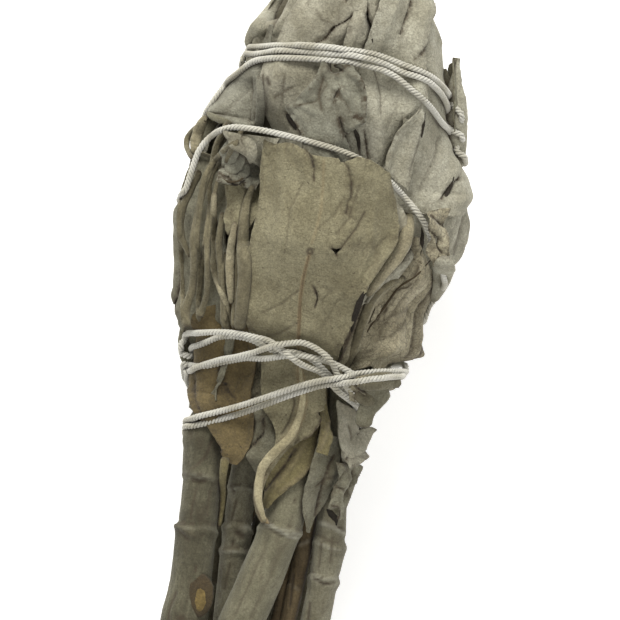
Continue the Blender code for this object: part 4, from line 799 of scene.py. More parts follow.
def sage_leaf(name, left, right, look, facing=0, rows=10, cols=4, ragged=0.25, wave=0.16,
              wrinkle=0.1, creased=1.0, curl=0.35, tear=0.22, tear_size=1.1, ribbed=False, strokes=(), cut_away=(),
              grid=GRID, reach=(0, 0, 0, 0), coarse=2):
    """One fine leaf at its solid's outer side. It is drawn as its left and right edges from root to tip, seen from
    the facing angle, and reach is how far it goes on past them (left, right, root, tip) where another leaf lies
    over it. Rows, cols and ragged are those its solid was made with. Drawn areas in cut_away are torn off it."""
    seed = sum(map(ord, name)) % 997
    angle, along, low, high = solid_grid(name, left, right, facing, rows, cols, ragged)
    (x0, y0), (x1, y1) = even_line(left, 200).T, even_line(right, 200).T
    length = np.hypot(np.diff((x0 + x1) / 2), np.diff((y0 + y1) / 2)).sum()
    arc = np.abs(np.radians(np.diff(angle, axis=1))) * high[:, 1:]
    width = float(np.hypot(arc, np.diff(along, axis=1)).sum(1).max())
    reach = np.array(reach, float) + RIM + 0.5 * tear
    s = np.linspace(-reach[2] / length, 1 + reach[3] / length, max(int((length + reach[2:].sum()) / grid), 12))
    n, m = len(s), max(int((width + reach[:2].sum()) / grid), 8)
    (x0, y0), (x1, y1) = reach_line(left, s), reach_line(right, s)
    edge_high, edge_angle = (finer(q, s, np.array([0.0, 1.0])) for q in (high, angle))
    inset = (edge_high / outline_radius(edge_angle, np.stack([y0, y1], 1))).clip(*INSET)
    a0, a1 = drawn_angle(x0, y0, facing, inset[:, 0]), drawn_angle(x1, y1, facing, inset[:, 1])
    wide = np.maximum(np.hypot(np.radians(a1 - a0) * edge_high.mean(1), y1 - y0), 0.2)[:, None]
    taper = np.clip((1 - s) * length / 5, 0.12, 1)[:, None]
    on_left, on_right = (RIM + 0.5 * tear + taper * (q - RIM - 0.5 * tear) for q in reach[:2])
    t = -on_left / wide + np.linspace(0, 1, m)[None] * (1 + (on_left + on_right) / wide)
    level = np.linspace(-reach[0] / wide.mean(), 1 + reach[1] / wide.mean(), m)
    fine_angle = a0[:, None] * (1 - t) + a1[:, None] * t
    fine_along = y0[:, None] * (1 - t) + y1[:, None] * t
    middle = finer(high, s, level) - SKIN - THICK / 2
    down, across = (s * length)[:, None] + 0 * t, t * wide
    x, y = middle * np.sin(np.radians(fine_angle - facing)), fine_along

    # What lies over and under it. Past its own solid it slips in between them, or ends where there's no room
    pick, half, gap = slice(None, None, coarse), THICK / 2, 0.04
    over, under = layers_at(name, fine_angle[pick, pick], fine_along[pick, pick],
                            finer((low + high) / 2, s, level)[pick, pick])
    here = middle[pick, pick]
    own = (s[pick, None] >= 0) & (s[pick, None] <= 1) & (t[pick, pick] >= 0) & (t[pick, pick] <= 1)
    lowest = under + half + 0.05
    shift = np.where(own, 0, np.clip(here, lowest, np.maximum(over - half - 0.05, lowest)) - here)
    fine_room = np.where(own, 1.0, over - under - THICK - 0.1)
    free_out = np.clip((over - half - gap - here - shift) * np.where(over < OPEN, 0.5, 1), 0, 3)
    free_in = np.clip((here + shift - half - gap - under) * 0.5, 0, 3)
    shift, fine_room = between(shift, n, m), between(fine_room, n, m)
    free_out, free_in = between(least_near(free_out), n, m), between(least_near(free_in), n, m)
    middle = middle + shift

    # Where the sheet ends: its rims, torn by as much as tear, and the gaps of its cracks and holes
    base = place(fine_angle, fine_along, middle)
    flat_place = np.stack([across, down, 0 * t + seed], -1)
    torn = rough(flat_place, tear_size, seed, 4) * tear + rough(flat_place, 4.0, seed + 5, 2) * tear * 0.8
    end_rim = np.minimum(down + reach[2], length + reach[3] - down)
    rim = np.minimum(np.minimum(across + on_left, wide - across + on_right), end_rim)
    relief, brown, pale, cut = stroke_marks(x, y, strokes, seed)
    for corners in cut_away:
        cut = np.minimum(cut, outside_of(x, y, corners) - torn * 0.7)
    keep = np.minimum(np.minimum(rim - RIM - 0.5 * tear - torn, cut), fine_room * 2)

    # The lie of the sheet
    rise = wave * rough(base, 5.5, seed, 2) + wrinkle * rough(base * (1, 0.35, 1), 1.6, seed + 3, 3)
    vein = pale
    crease = hump(rough(base * (1, 0.45, 1), 3.6, seed + 21, 3), 0.05)
    crease = crease * np.clip(0.5 + 1.5 * noise(base, 6.0, seed + 2), 0, 1)
    rise -= 0.14 * creased * crease
    brown = np.maximum(brown, 0.3 * creased * crease)
    if ribbed:
        off = (t - RIB_AT - 0.03 * np.sin(s[:, None] * 5 + seed)) * wide
        ridge = hump(off, 0.42) * (1 - 0.6 * s[:, None])
        rise += RIB_HEIGHT * 1.5 * ridge - 0.12 * hump(np.abs(off) - 1.0, 0.7)
        space = length / VEIN_PAIRS
        phase = (down - 0.9 * np.abs(off) - 0.02 * off ** 2) / space + 0.5 * (off > 0) + 0.15 * noise(base, 4.0, seed)
        line = hump((phase - np.round(phase)) * space, 0.3) * np.clip(1 - np.abs(off) / (0.55 * wide + 0.1), 0, 1)
        rise += RIB_HEIGHT * 0.6 * line
        vein = np.maximum(np.maximum(vein, ridge), 0.6 * line)
    lift = curl * (0.35 + 0.9 * rough(flat_place * (0.25, 1, 1), 5.0, seed + 8, 2))
    rise += lift * hump(np.maximum(keep, 0), 1.1)
    rise = np.clip(rise + relief, -free_in, free_out)
    thickness = half * (0.55 + 0.45 * np.clip(keep / 0.8, 0, 1))
    points = place(fine_angle, fine_along, middle + rise - BITE * press(fine_angle, fine_along))
    points[..., 2] = np.maximum(points[..., 2], thickness + 0.02)

    i, j = (q.ravel() for q in np.meshgrid(np.arange(n - 1), np.arange(m - 1), indexing="ij"))
    a, b = i * m + j, i * m + j + 1
    swap = ((i + j) % 2 == 0)[:, None]
    faces = np.concatenate([np.where(swap, np.stack([a, b, b + m], 1), np.stack([a, b, a + m], 1)),
                            np.where(swap, np.stack([a, b + m, a + m], 1), np.stack([b, b + m, a + m], 1))])
    edge = hump(np.maximum(keep, 0), 0.7)
    turn = np.radians(fine_angle)
    extra = np.stack([q.ravel() for q in (vein, brown, edge, thickness, np.sin(turn), 0 * turn, np.cos(turn))], 1)
    points, faces, extra = keep_inside(points.reshape(-1, 3), faces, keep.ravel(), extra)
    faces = one_patch(faces)
    points, faces, rim_count, extra = close_sheet(points, faces, extra, extra[:, 3], extra[:, 4:7])
    piece = new_piece(name + "_sheet", points, faces, look, extra[:, :3],
                      range(len(faces) - rim_count, len(faces)))
    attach(piece, "root")
    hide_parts(name)


# SAGE, PALE, GREY and LIT_GREY are one felt in lighter and darker copies. Each leaf gets one partly for its own tone
# and partly as painted light and shade: GREY where a leaf lies in shade, PALE and LIT_GREY where it is to look lit.
SAGE = plant_look("sage_felt", (0.35, 0.332, 0.256), (0.224, 0.208, 0.15))
PALE = plant_look("sage_pale", (0.392, 0.376, 0.295), (0.27, 0.254, 0.188))
GREY = plant_look("sage_grey", (0.2, 0.19, 0.134), (0.13, 0.12, 0.0768))
FRONT = plant_look("sage_front", (0.259, 0.235, 0.146), (0.171, 0.151, 0.089), rib=(0.27, 0.19, 0.095), Specks=0.6)
LIT_GREY = plant_look("sage_grey_light", (0.262, 0.255, 0.2), (0.17, 0.162, 0.122))
CRUMPLED = plant_look("sage_brownish", (0.25, 0.246, 0.19), (0.156, 0.149, 0.11), Specks=0.5, Wear=0.9)
TAN = plant_look("dry_tan", (0.162, 0.121, 0.0535), (0.098, 0.0732, 0.0319), Net=0.25, Specks=0.9)
DRY = plant_look("dry_brown", (0.42, 0.38, 0.262), (0.27, 0.238, 0.155), Net=0.8, Specks=0.5, Wear=0.5)
OLIVE = plant_look("dry_olive", (0.213, 0.181, 0.084), (0.134, 0.112, 0.0504), Net=0.3, Specks=0.4)

# Leaves of the back and sides, which the picture doesn't show: whole, overlapping sage leaves with their
# ribs outwards, and one pressed flat where the stick lies.
BACK = [
    ("back_leaf_a", [(-7, -8), (-10, 2), (-11, 14), (-9, 28), (-5, 40), (-1.5, 50)],
     [(5, -8), (9, 2), (11, 14), (10, 28), (5, 40), (0.5, 50)], 150, 14, 5, SAGE),
    ("back_leaf_b", [(-6, 4), (-10, 14), (-10, 28), (-6, 40), (-3, 50), (-1, 56)],
     [(6, 4), (10, 14), (11, 28), (7, 40), (4, 50), (0.5, 56)], 205, 13, 5, PALE),
    ("back_leaf_c", [(-7, -24), (-9, -12), (-10, 2), (-8, 16), (-3, 26)],
     [(4, -25), (8, -12), (9, 2), (7, 16), (-1, 26)], 178, 13, 5, SAGE),
    ("back_leaf_d", [(-4, -20), (-8, -8), (-9, 6), (-7, 18), (-2, 30)],
     [(5, -20), (8, -8), (9, 6), (6, 18), (0, 30)], 236, 13, 5, GREY),
    ("back_leaf_e", [(-6, -14), (-8, -2), (-9, 12), (-8, 26), (-3, 38)],
     [(5, -14), (9, -2), (10, 12), (7, 26), (-1, 38)], 118, 13, 5, SAGE),
    ("back_leaf_f", [(-5, 18), (-9, 28), (-8, 38), (-5, 48), (-3, 57)],
     [(6, 18), (10, 28), (9, 38), (5, 48), (-1, 57)], 165, 11, 5, SAGE),
    ("back_leaf_g", [(-5, 14), (-8, 24), (-8, 36), (-6, 47), (-2, 55)],
     [(5, 14), (9, 24), (8, 36), (3, 47), (0, 55)], 252, 11, 5, PALE),
    ("back_leaf_h", [(-3, 8), (-8, 18), (-9, 30), (-6, 42), (-2, 52)],
     [(5, 8), (9, 18), (8, 30), (4, 42), (0, 52)], 110, 12, 5, PALE),
    ("back_leaf_i", [(-2, -33), (-5, -24), (-8, -12), (-9, 0), (-6, 10)],
     [(1, -33), (3, -24), (6, -12), (7, 0), (1, 10)], 216, 12, 4, SAGE),
    ("back_leaf_j", [(0, -30), (-4, -20), (-7, -8), (-7, 4), (-3, 12)],
     [(3, -30), (5, -20), (7, -8), (7, 4), (1, 12)], 140, 12, 4, GREY),
    ("rest_leaf", [(-5, -3), (-8, 4), (-8.5, 14), (-8, 24), (-4, 34), (-1, 40)],
     [(4, -3), (8, 4), (9, 14), (8, 24), (5, 34), (0.5, 40)], 180, 15, 7, SAGE),
]
for name, left, right, facing, rows, cols, look in BACK:
    sage_leaf(name, left, right, look, facing, rows, cols, grid=0.52, coarse=3, ribbed=True, curl=0.5, tear=0.15)

# Leaves of the upper half, as seen from the front: broad, pale, felted leaves lapped over each other round the
# tip, cupped and creased as they dried. Their roots are under the twine, which holds them.
sage_leaf(
    "left_side_leaf", [(-19, -13), (-23, -6), (-26, 2), (-27, 10), (-25, 17), (-22.5, 22)],
    [(-15.5, -12), (-17.5, -5), (-18.5, 0), (-19.5, 6), (-21, 12), (-21, 20)],
    GREY, rows=12, tear=0.5, tear_size=2.0, reach=(2.2, 3.5, 6, 1),
    strokes=[
        (0.4, -0.4, 0.7, 0.1, [(-19.2, 3.1), (-19.0, -0.1), (-18.2, -2.6), (-17.1, -5.1), (-16.9, -7.4)]),
        (1.0, 0.4, 0, 0, [(-22.4, 12), (-22.8, 6), (-21.4, 0), (-19.4, -6)]),
        (0.35, -0.3, 0.5, 0, [(-23.2, 8), (-22.2, 1), (-20.2, -5), (-18.4, -10)])])
sage_leaf(
    "gray_right_leaf", [(18, 2), (19.5, 7), (19.5, 12), (20, 16), (21.5, 20)],
    [(21.3, 3), (22.6, 7), (23.6, 12), (24, 16), (23, 20)],
    GREY, rows=8, tear=0.4, tear_size=2.0, reach=(3, 0.6, 4.5, 0.5),
    strokes=[
        (0.4, -0.35, 0.4, 0.06, [(20.9, 5), (21.6, 9), (21.8, 13)]),
        (0.7, 0.4, 0, 0, [(20.2, 6), (20.6, 11), (21, 15)])])
sage_leaf(
    "right_tip_leaf", [(18.5, 8), (19, 13), (19.6, 20), (20.3, 25)],
    [(22.6, 9), (24.2, 15), (23, 21), (21, 26.5)],
    PALE, rows=8, tear=0.3, reach=(2.5, 0, 0.5, 0.5),
    strokes=[(0.4, -0.3, 0.4, 0, [(21.6, 24), (22, 19), (21.6, 13)])])
sage_leaf(
    "pale_right_leaf", [(16.4, 19), (14.6, 22), (14.1, 26), (14.4, 30), (13.9, 34), (12.8, 38), (12, 42), (12, 47),
     (12.5, 53)],
    [(21.6, 20), (22.4, 24), (21.4, 30), (20.2, 35), (19, 39), (17.5, 43), (15.2, 47), (13.8, 52), (13.2, 55)],
    PALE, rows=14, cols=5, creased=0.6, reach=(2.8, 2.4, 1, 0),
    strokes=[
        (0.8, 0.35, 0, 0, [(17.6, 30.9), (17, 26.8), (15.9, 22)]),
        (0.3, -0.3, 0.3, 0, [(16.5, 31), (16.1, 27), (15, 22)]),
        (0.8, 0.35, 0, 0, [(19.7, 28.6), (19, 25.2), (17.3, 21.6)]),
        (0.35, -0.45, 0.8, 0.14, [(20.3, 25.1), (19.3, 23.4), (18.4, 21.3)]),
        (0.3, -0.35, 0.5, 0.05, [(13.6, 50), (14.2, 46.5), (15.2, 43)]),
        (0.9, 0.4, 0, 0, [(13, 50), (13.4, 46), (14.4, 42)])])
sage_leaf(
    "curled_tip_leaf", [(-18, 36), (-18.5, 39), (-17, 42.5), (-14.5, 46), (-12.6, 50), (-11.4, 54), (-10, 57)],
    [(-11.2, 36), (-11.4, 39), (-11.3, 42.5), (-11.9, 46), (-11.2, 50), (-10, 54), (-9, 57)],
    SAGE, rows=11, reach=(0, 1.2, 0, 0.3),
    strokes=[
        (0.6, 0.8, 0, 0, [(-16.4, 38), (-15, 42), (-13, 46.5), (-11.6, 52), (-10.4, 56)]),
        (0.4, -0.5, 0.5, 0, [(-15, 38), (-13.8, 42), (-12.2, 46), (-11, 51)]),
        (0.5, -0.3, 0.3, 0, [(-17.4, 37), (-16.4, 40.5), (-14.6, 44)])])
sage_leaf(
    "small_top_leaf", [(-11, 37), (-10.9, 41), (-10.4, 44.5), (-9.2, 46.4)],
    [(-5.5, 37), (-6, 41), (-6.6, 44.5), (-7.9, 46.6)],
    SAGE, rows=6, reach=(0.8, 1, 1, 0.6),
    strokes=[
        (0.5, 0.35, -0.3, 0, [(-8.4, 38), (-8.4, 42), (-8.3, 45.6)]),
        (0.4, -0.3, 0.4, 0, [(-10, 40), (-9.4, 43), (-8.9, 45)])])
sage_leaf(
    "upper_left_leaf", [(-20, 27.2), (-22, 29), (-21.5, 32), (-19.3, 35), (-17, 37.5), (-15.6, 40), (-14.6, 43)],
    [(-12, 26.8), (-12.1, 30), (-12.8, 33.6), (-13.4, 36.5), (-13, 39.5), (-12.6, 41.5), (-12.9, 43)],
    LIT_GREY, rows=9, cols=5, creased=0.6, curl=0.8, reach=(0, 0.2, 0, 1),
    cut_away=[[(-12.6, 44), (-13.1, 36), (-12.5, 33), (-12, 30), (-11.6, 26), (-5, 26), (-5, 44)]],
    strokes=[
        (0.45, 0.1, 0.8, 0, [(-21.4, 28.6), (-20, 27.8), (-18, 27.6), (-16, 27.2)]),
        (0.8, 0.7, 0, 0, [(-14.1, 35.9), (-13, 33.8), (-12.5, 30.9), (-12.2, 27.8)]),
        (0.35, -0.4, 0.4, 0, [(-14.9, 35), (-14.1, 32), (-13.5, 28)]),
        (1.1, 0.5, 0, 0, [(-20, 28), (-18, 31.5), (-15.8, 35)]),
        (0.5, -0.35, 0.2, 0, [(-18.4, 28), (-16.8, 31), (-15, 33.4)]),
        (0.5, 0.1, 0.9, 0.1, [(-21, 28.2), (-19.6, 27.6), (-18, 27.4)])])
sage_leaf(
    "upper_middle_leaf", [(-11, 23.5), (-11.3, 27.5), (-11.8, 31), (-12.6, 34), (-12, 37.5), (-10.8, 41), (-9.4, 45),
     (-8, 48.6), (-6, 53), (-3.4, 58)],
    [(0.6, 23), (0, 27), (0.9, 31), (1.5, 35), (1.2, 40), (0.3, 45), (0.2, 49), (-0.3, 53), (-2, 58)],
    SAGE, rows=16, cols=6, creased=0.6, reach=(2.4, 1.6, 0.5, 0),
    strokes=[
        (0.35, -0.1, 1, 0, [(-13, 36), (-12.2, 33), (-11.8, 30), (-11.5, 27), (-11.2, 24.4)]),
        # A painted shadow beneath the corner of the crumpled leaf.
        (0.8, -0.9, 1, 0, [(-7.9, 30.5), (-6.4, 29.2), (-5, 27.8)]),
        (0.5, -0.6, 1, 0, [(1.6, 32), (2.6, 30), (3.6, 27.6), (4.4, 25.6)]),
        (0.4, -0.3, 0.95, 0.12, [(0.5, 48.1), (-1.3, 46.3), (-2.6, 45.4), (-3.3, 44.3), (-4.1, 43.2), (-5.4, 42.1)]),
        (0.9, 0.35, 0.1, 0, [(0.6, 47.2), (-1, 45.2), (-2.2, 43.6)]),
        (0.3, 0.12, 0.3, 0, [(-5.8, 47.4), (-4.6, 46.2), (-2.2, 45.7)]),
        (1.3, 0, 0.3, 0, [(0.5, 47.5), (-0.1, 45), (-1, 42.9)]),
        (0.3, -0.15, 0.5, 0, [(-10.2, 32.7), (-9.1, 33.8), (-7.6, 34.8)]),
        (0.25, -0.12, 0.4, 0, [(-9.4, 36.5), (-9.1, 33.8), (-8.9, 31.6)]),
        (0.7, 0, 0.7, 0, [(-12, 35.4), (-11.5, 34.7)]), (1.2, 0.4, 0, 0, [(-11, 29), (-10.6, 33), (-10.6, 37)]),
        (0.35, -0.3, 0.3, 0, [(-6.2, 57), (-6.6, 52), (-7.6, 48)]),
        (0.35, -0.35, 0.45, 0.05, [(-2.2, 56), (-2, 52.6), (-1.4, 49.6)]),
        (1.0, 0.5, 0, 0, [(-3.6, 56), (-3.8, 51), (-4.6, 47)])])
sage_leaf(
    "fold_leaf", [(0.9, 37), (0.5, 41), (0.7, 45), (1.6, 49.6), (2.8, 53), (3.4, 56)],
    [(4.6, 37), (4.4, 41), (4.3, 44), (5.2, 48), (5.4, 52), (4.8, 56)],
    SAGE, rows=9, reach=(1.2, 1.6, 0.5, 0),
    strokes=[
        (0.5, -0.9, 0.9, 0.28, [(1.9, 49.2), (2.3, 47.8), (3.2, 46.3), (3.7, 45.1), (3.9, 43.6)]),
        (0.9, 0.7, 0, 0, [(1.4, 50), (1.5, 47), (2.4, 44.6)]), (0.7, 0.5, 0, 0, [(3.2, 49), (4.1, 46.6), (4.7, 44)]),
        (0.35, -0.3, 0.4, 0, [(3.6, 55.6), (4, 52.4), (4.2, 50)])])
sage_leaf(
    "band_leaf", [(7, 22.4), (6.2, 25.8), (4.9, 29), (4.7, 32), (5.4, 35), (4.6, 38.2), (4.9, 42), (5.6, 47),
     (6.2, 52), (7.2, 58)],
    [(10.4, 21.6), (9.6, 25), (9.9, 28.5), (11.2, 32), (12.8, 35), (12.3, 38.5), (11.2, 43), (11.2, 48), (11.3, 53),
     (8.6, 58.5)],
    PALE, rows=15, cols=5, creased=0.6, reach=(2.6, 1.4, 1, 0),
    strokes=[
        (0.35, -0.3, 0.5, 0.08, [(12.1, 47.5), (11.8, 45.3), (10.6, 42.6)]),
        (0.3, -0.3, 0.4, 0, [(4.9, 39.5), (5.7, 38.1), (6.5, 35.9), (6.9, 33)]),
        (0.3, -0.35, 0.6, 0.05, [(4.9, 30), (5.7, 27.5), (6.5, 25)]),
        (0.9, 0.5, 0, 0, [(5.6, 34.7), (7.1, 30.4), (8.3, 25.6)]),
        (0.8, 0.45, 0, 0, [(7.4, 56), (7, 51), (6.4, 46)]),
        (0.35, -0.4, 0.4, 0.05, [(8.6, 56), (8.3, 50.6), (7.6, 46)]),
        (0.7, 0.35, 0, 0, [(9.9, 55), (10, 50), (9.6, 45)])])
sage_leaf(
    "pointed_leaf", [(9.9, 24.2), (10.1, 27), (10.8, 30), (12, 33), (12.9, 34.9)],
    [(13.9, 22), (14.2, 25.5), (14.3, 29), (14.2, 32), (13.4, 34.9)],
    PALE, rows=8, reach=(0.6, 0.6, 0, 0),
    strokes=[
        (0.7, 0.4, 0, 0, [(12.9, 33.5), (12.6, 30), (12.2, 26)]),
        (0.3, -0.25, 0.3, 0, [(13.3, 32.4), (13.4, 29), (13, 25)])])
sage_leaf(
    "side_roll", [(20.5, 33.2), (19.5, 36), (18.3, 39), (17.4, 42), (17.3, 44)],
    [(23, 34), (22, 37), (20.4, 40), (18.9, 42.8), (18.1, 44.2)],
    GREY, rows=8, cols=3, reach=(2.4, 0, 0.8, 0),
    strokes=[(0.5, 0.4, 0.2, 0, [(21.4, 34.5), (20, 39), (18, 43.5)])])
sage_leaf(
    "crumpled_leaf", [(-4, 24.4), (-5, 27.6), (-6.6, 29.5), (-8.1, 31.3), (-6.6, 33), (-5.2, 34.8), (-4.2, 37),
     (-3.8, 39)],
    [(4.4, 23.4), (3.6, 26.6), (2.6, 29), (4.6, 31), (4.2, 33.5), (3.9, 35.5), (3.4, 37.5), (2, 39.2)],
    CRUMPLED, rows=13, cols=7, ragged=0.4, wave=0.15, wrinkle=0.05, curl=0.9, reach=(0, 0, 0.8, 0.6), creased=0.7,
    strokes=[
        (0.5, 0.8, 0, 0, [(-7.6, 31.4), (-5.6, 32.2), (-3.6, 31.4)]),
        (0.45, -0.5, 0.6, 0, [(-3, 37), (-3.4, 34.4), (-2.4, 32)]),
        (0.5, 0.7, 0, 0, [(3.9, 36), (4.3, 33.6), (4.5, 31.4), (3, 30)]),
        (0.6, 1.0, 0, 0, [(-3.6, 39.8), (-3.1, 38.5), (-2.6, 37.5)]),
        (0.55, -0.9, 1.0, 0.4, [(-2.2, 39.4), (-1.6, 38.5), (-0.3, 38.7)]),
        (0.5, 0.8, 0, 0, [(-0.9, 38.3), (-0.4, 37.2)]),
        (0.45, 0.55, 0.15, 0, [(0.1, 39.3), (1.6, 38.1), (3.3, 37.5), (3.8, 34.5), (4.3, 31.4)]),
        (0.3, -0.35, 0.6, 0.08, [(-0.1, 35.8), (-0.7, 34.3), (-0.7, 33.3)]),
        (0.2, -0.1, 0.9, 0.09, [(3.1, 31.8), (4.2, 31.8), (4.4, 32.2)]),
        (0.8, -0.6, 0.1, 0, [(-0.3, 33.1), (0.2, 31.8)]), (0.6, 0.5, 0, 0, [(-5.4, 33.6), (-4.4, 36), (-3.4, 37.6)]),
        (0.4, -0.4, 0.4, 0, [(-6.4, 31.8), (-3.6, 33), (-2.2, 36)]),
        (0.7, 0.5, 0, 0, [(-7, 31.4), (-4.6, 30), (-3.4, 27.4), (-3, 25)]),
        (0.4, 0.45, 0, 0, [(-1.6, 36.4), (0.8, 35.4), (2.4, 33.4)]),
        (0.4, -0.4, 0.35, 0, [(-1.2, 35), (1.2, 33.8), (2.2, 32.4)]),
        (0.5, -0.45, 0.9, 0.22, [(0.7, 31.1), (1.5, 29.4), (2.7, 28), (3.8, 26.8), (4.6, 26)])])

# Leaves and folds down the left and right of the front: thin grey and tan leaves that have dried brown, split
# and curled, bound down by the crossing turns of twine.
sage_leaf(
    "brown_low_leaf", [(-10.8, 3), (-10.5, -3), (-10, -9), (-9.2, -13), (-7.8, -16)],
    [(-6, 3), (-5.5, -3), (-5, -8.5), (-4.4, -12.5), (-5.8, -16.6)],
    DRY, reach=(1.5, 2.5, 1, 0),
    strokes=[
        (0.5, 0.4, 0, 0, [(-8.4, 2), (-8, -4), (-7, -10), (-6.2, -15)]),
        (0.3, -0.3, 0.5, 0.05, [(-9.4, 1), (-9, -6), (-7.6, -12)])])
sage_leaf(
    "gray_low_leaf", [(-4.8, -14), (-5.6, -18), (-5, -22), (-4.4, -25), (-3, -28)],
    [(2, -14), (1.4, -18), (0.6, -22), (-0.8, -25), (-2.2, -28.2)],
    GREY, rows=9, reach=(0.6, 2.5, 1, 0),
    strokes=[
        (0.4, -0.35, 0.7, 0.08, [(-2.8, -16.6), (-1.1, -18.6), (0.0, -21.4)]),
        (0.7, 0.5, 0, 0, [(-4.4, -16), (-3.6, -19), (-3.8, -22)]),
        (0.35, -0.35, 0.8, 0.1, [(-3, -18), (-2.6, -20.6), (-3.6, -22.4), (-4.8, -23.4)])])
sage_leaf(
    "tan_leaf", [(-16.5, 2), (-17.5, -4), (-17.2, -10), (-15.6, -15), (-13.4, -19), (-11, -22.5), (-9.4, -25),
     (-7.8, -26.3)],
    [(-11, 2), (-10.9, -4), (-10.2, -9.5), (-8.9, -13.7), (-7, -17.5), (-6.2, -21), (-5.8, -24.5), (-6.7, -26.2)],
    TAN, rows=15, cols=5, reach=(0, 1.5, 1.5, 0),
    cut_away=[[(-19, -5), (-16, -6), (-14.8, -10), (-14.2, -15.5), (-12.8, -19), (-11.4, -22), (-19, -22)]],
    strokes=[
        (0.25, -0.3, 0.85, 0.06, [(-10.7, -11.3), (-10.1, -13.2), (-9.1, -14.7), (-7.8, -15.8)]),
        (0.3, -0.25, 0.5, 0.04, [(-14.9, -6), (-14.2, -12), (-12.8, -17), (-11.4, -20)]),
        (0.4, 0.3, 0, 0, [(-12.4, -2), (-11.4, -9), (-9.8, -15)]),
        (0.35, -0.2, 0.9, 0.12, [(-9.9, -24.1), (-9.1, -23.6), (-8.6, -24.6)]),
        (0.3, 0, 0.8, 0, [(-10.2, -9), (-9.6, -9.3)])])
# The dark line between the strip and the veined leaf, drawn on both
STRIP_SHADOW = (0.8, -0.9, 1, 0, [(12.8, 12.9), (11.4, 9), (9.9, 4.6), (9.2, 1.5), (8.7, -1.4), (8, -4), (7.4, -7)])
sage_leaf(
    "strip_leaf", [(7.6, -6), (7.7, -2), (8.4, 1.5), (9.2, 4.5), (10.6, 8)],
    [(10, -6), (10.6, -1), (12, 3), (13.6, 6), (15, 9)],
    GREY, rows=8, reach=(3, 0.8, 1, 1),
    strokes=[
        STRIP_SHADOW, (0.6, 0.5, 0, 0, [(9.8, 4), (10.8, 6), (12.4, 7.6)]),
        (0.35, -0.4, 0.6, 0, [(9, -4), (9.8, 1), (11.4, 4.4), (13.6, 7)]),
        (0.4, 0.35, 0, 0, [(8.4, -4), (8.9, 0), (10, 4)])])
sage_leaf(
    "layered_edge", [(13.6, -4.6), (15.8, -1), (17, 2), (17.6, 5), (19, 9)],
    [(18.6, -6), (20, -3), (21, 1), (21.8, 5), (22.6, 9)],
    DRY, rows=9, cols=5, ragged=0.4, tear=0.25, reach=(4, 0, 2, 1), creased=1.6,
    cut_away=[[(21.4, 7), (24.5, 6.5), (24.5, 12), (18, 12), (19.5, 9)]],
    strokes=[
        (0.35, -0.4, 0.8, 0, [(16.6, -4.6), (18, 0), (19.2, 4.4), (20.4, 8)]),
        (0.35, -0.4, 0.8, 0, [(17.8, -5), (19.4, -0.6), (20.6, 4)]),
        (0.5, 0.5, 0.2, 0, [(17.4, -4), (18.8, 0.6), (20, 5)])])
sage_leaf(
    "veined_leaf", [(9.7, -8), (9.7, -4), (10.7, 0), (12.4, 4), (14.2, 7), (16, 10.5), (17, 14)],
    [(13, -6.3), (15, -3), (17.2, 1), (18.4, 5), (19.2, 8), (19.6, 11), (19, 13.6)],
    DRY, rows=12, cols=5, reach=(2.4, 2.2, 1.5, 1), creased=1.4,
    strokes=[
        STRIP_SHADOW,
        (0.4, 0.45, 0.75, 0, [(16.9, 10.8), (16.4, 8.1), (16, 6.7), (14.7, 6.1), (13.8, 3.7), (11.5, -0.1)]),
        (0.3, -0.3, 0.4, 0, [(11.2, -6), (13.4, 0), (15.6, 4), (17.4, 8)]),
        (0.25, 0.25, 0.35, 0, [(12, -3), (14.4, -1.4), (16.2, 1)]),
        (0.25, 0.25, 0.35, 0, [(12.8, 0.4), (14.8, 2), (17.4, 3.6)]),
        (0.5, 0.4, 0, 0, [(13.8, -4.6), (16, 0), (17.8, 4.6)])])
sage_leaf(
    "ridge_leaf", [(13.4, 19), (13.9, 16), (13.6, 12.5), (12, 9), (10.6, 6), (9.9, 3.6)],
    [(15.4, 17.6), (16.4, 15), (16.6, 12.4), (15.6, 10), (13.6, 7), (11, 3.9)],
    PALE, rows=9, cols=5, reach=(3, 1.2, 0.5, 1),
    strokes=[
        (1.0, 0.9, -0.35, 0, [(13.5, 17.5), (14, 14), (13.2, 10.9), (11.4, 7.9), (10.9, 5.5)]),
        (0.35, -0.5, 0.7, 0.08, [(15.7, 15.6), (15, 12.6), (13.8, 10.2), (12.2, 7.4)]),
        (0.5, 0.4, 0, 0, [(16, 14), (15.6, 12), (14.4, 9.4)])])
sage_leaf(
    "left_tongue", [(-17, 18.2), (-16.4, 14), (-15.2, 10.8), (-14.2, 8.4)],
    [(-12.4, 18.2), (-12.7, 14), (-13, 11), (-13.5, 8.4)],
    FRONT, rows=7, reach=(0.2, 0.5, 1, 0),
    strokes=[
        (0.35, -0.4, 0.9, 0.1, [(-12.6, 10.9), (-13.1, 9.9), (-13.8, 8.9), (-14.3, 8.4)]),
        (0.6, 0.4, 0, 0, [(-15.6, 17), (-14.8, 13), (-13.9, 10)]),
        (0.3, -0.2, 0.3, 0, [(-14, 17.6), (-13.6, 14), (-13.3, 11.4)])])
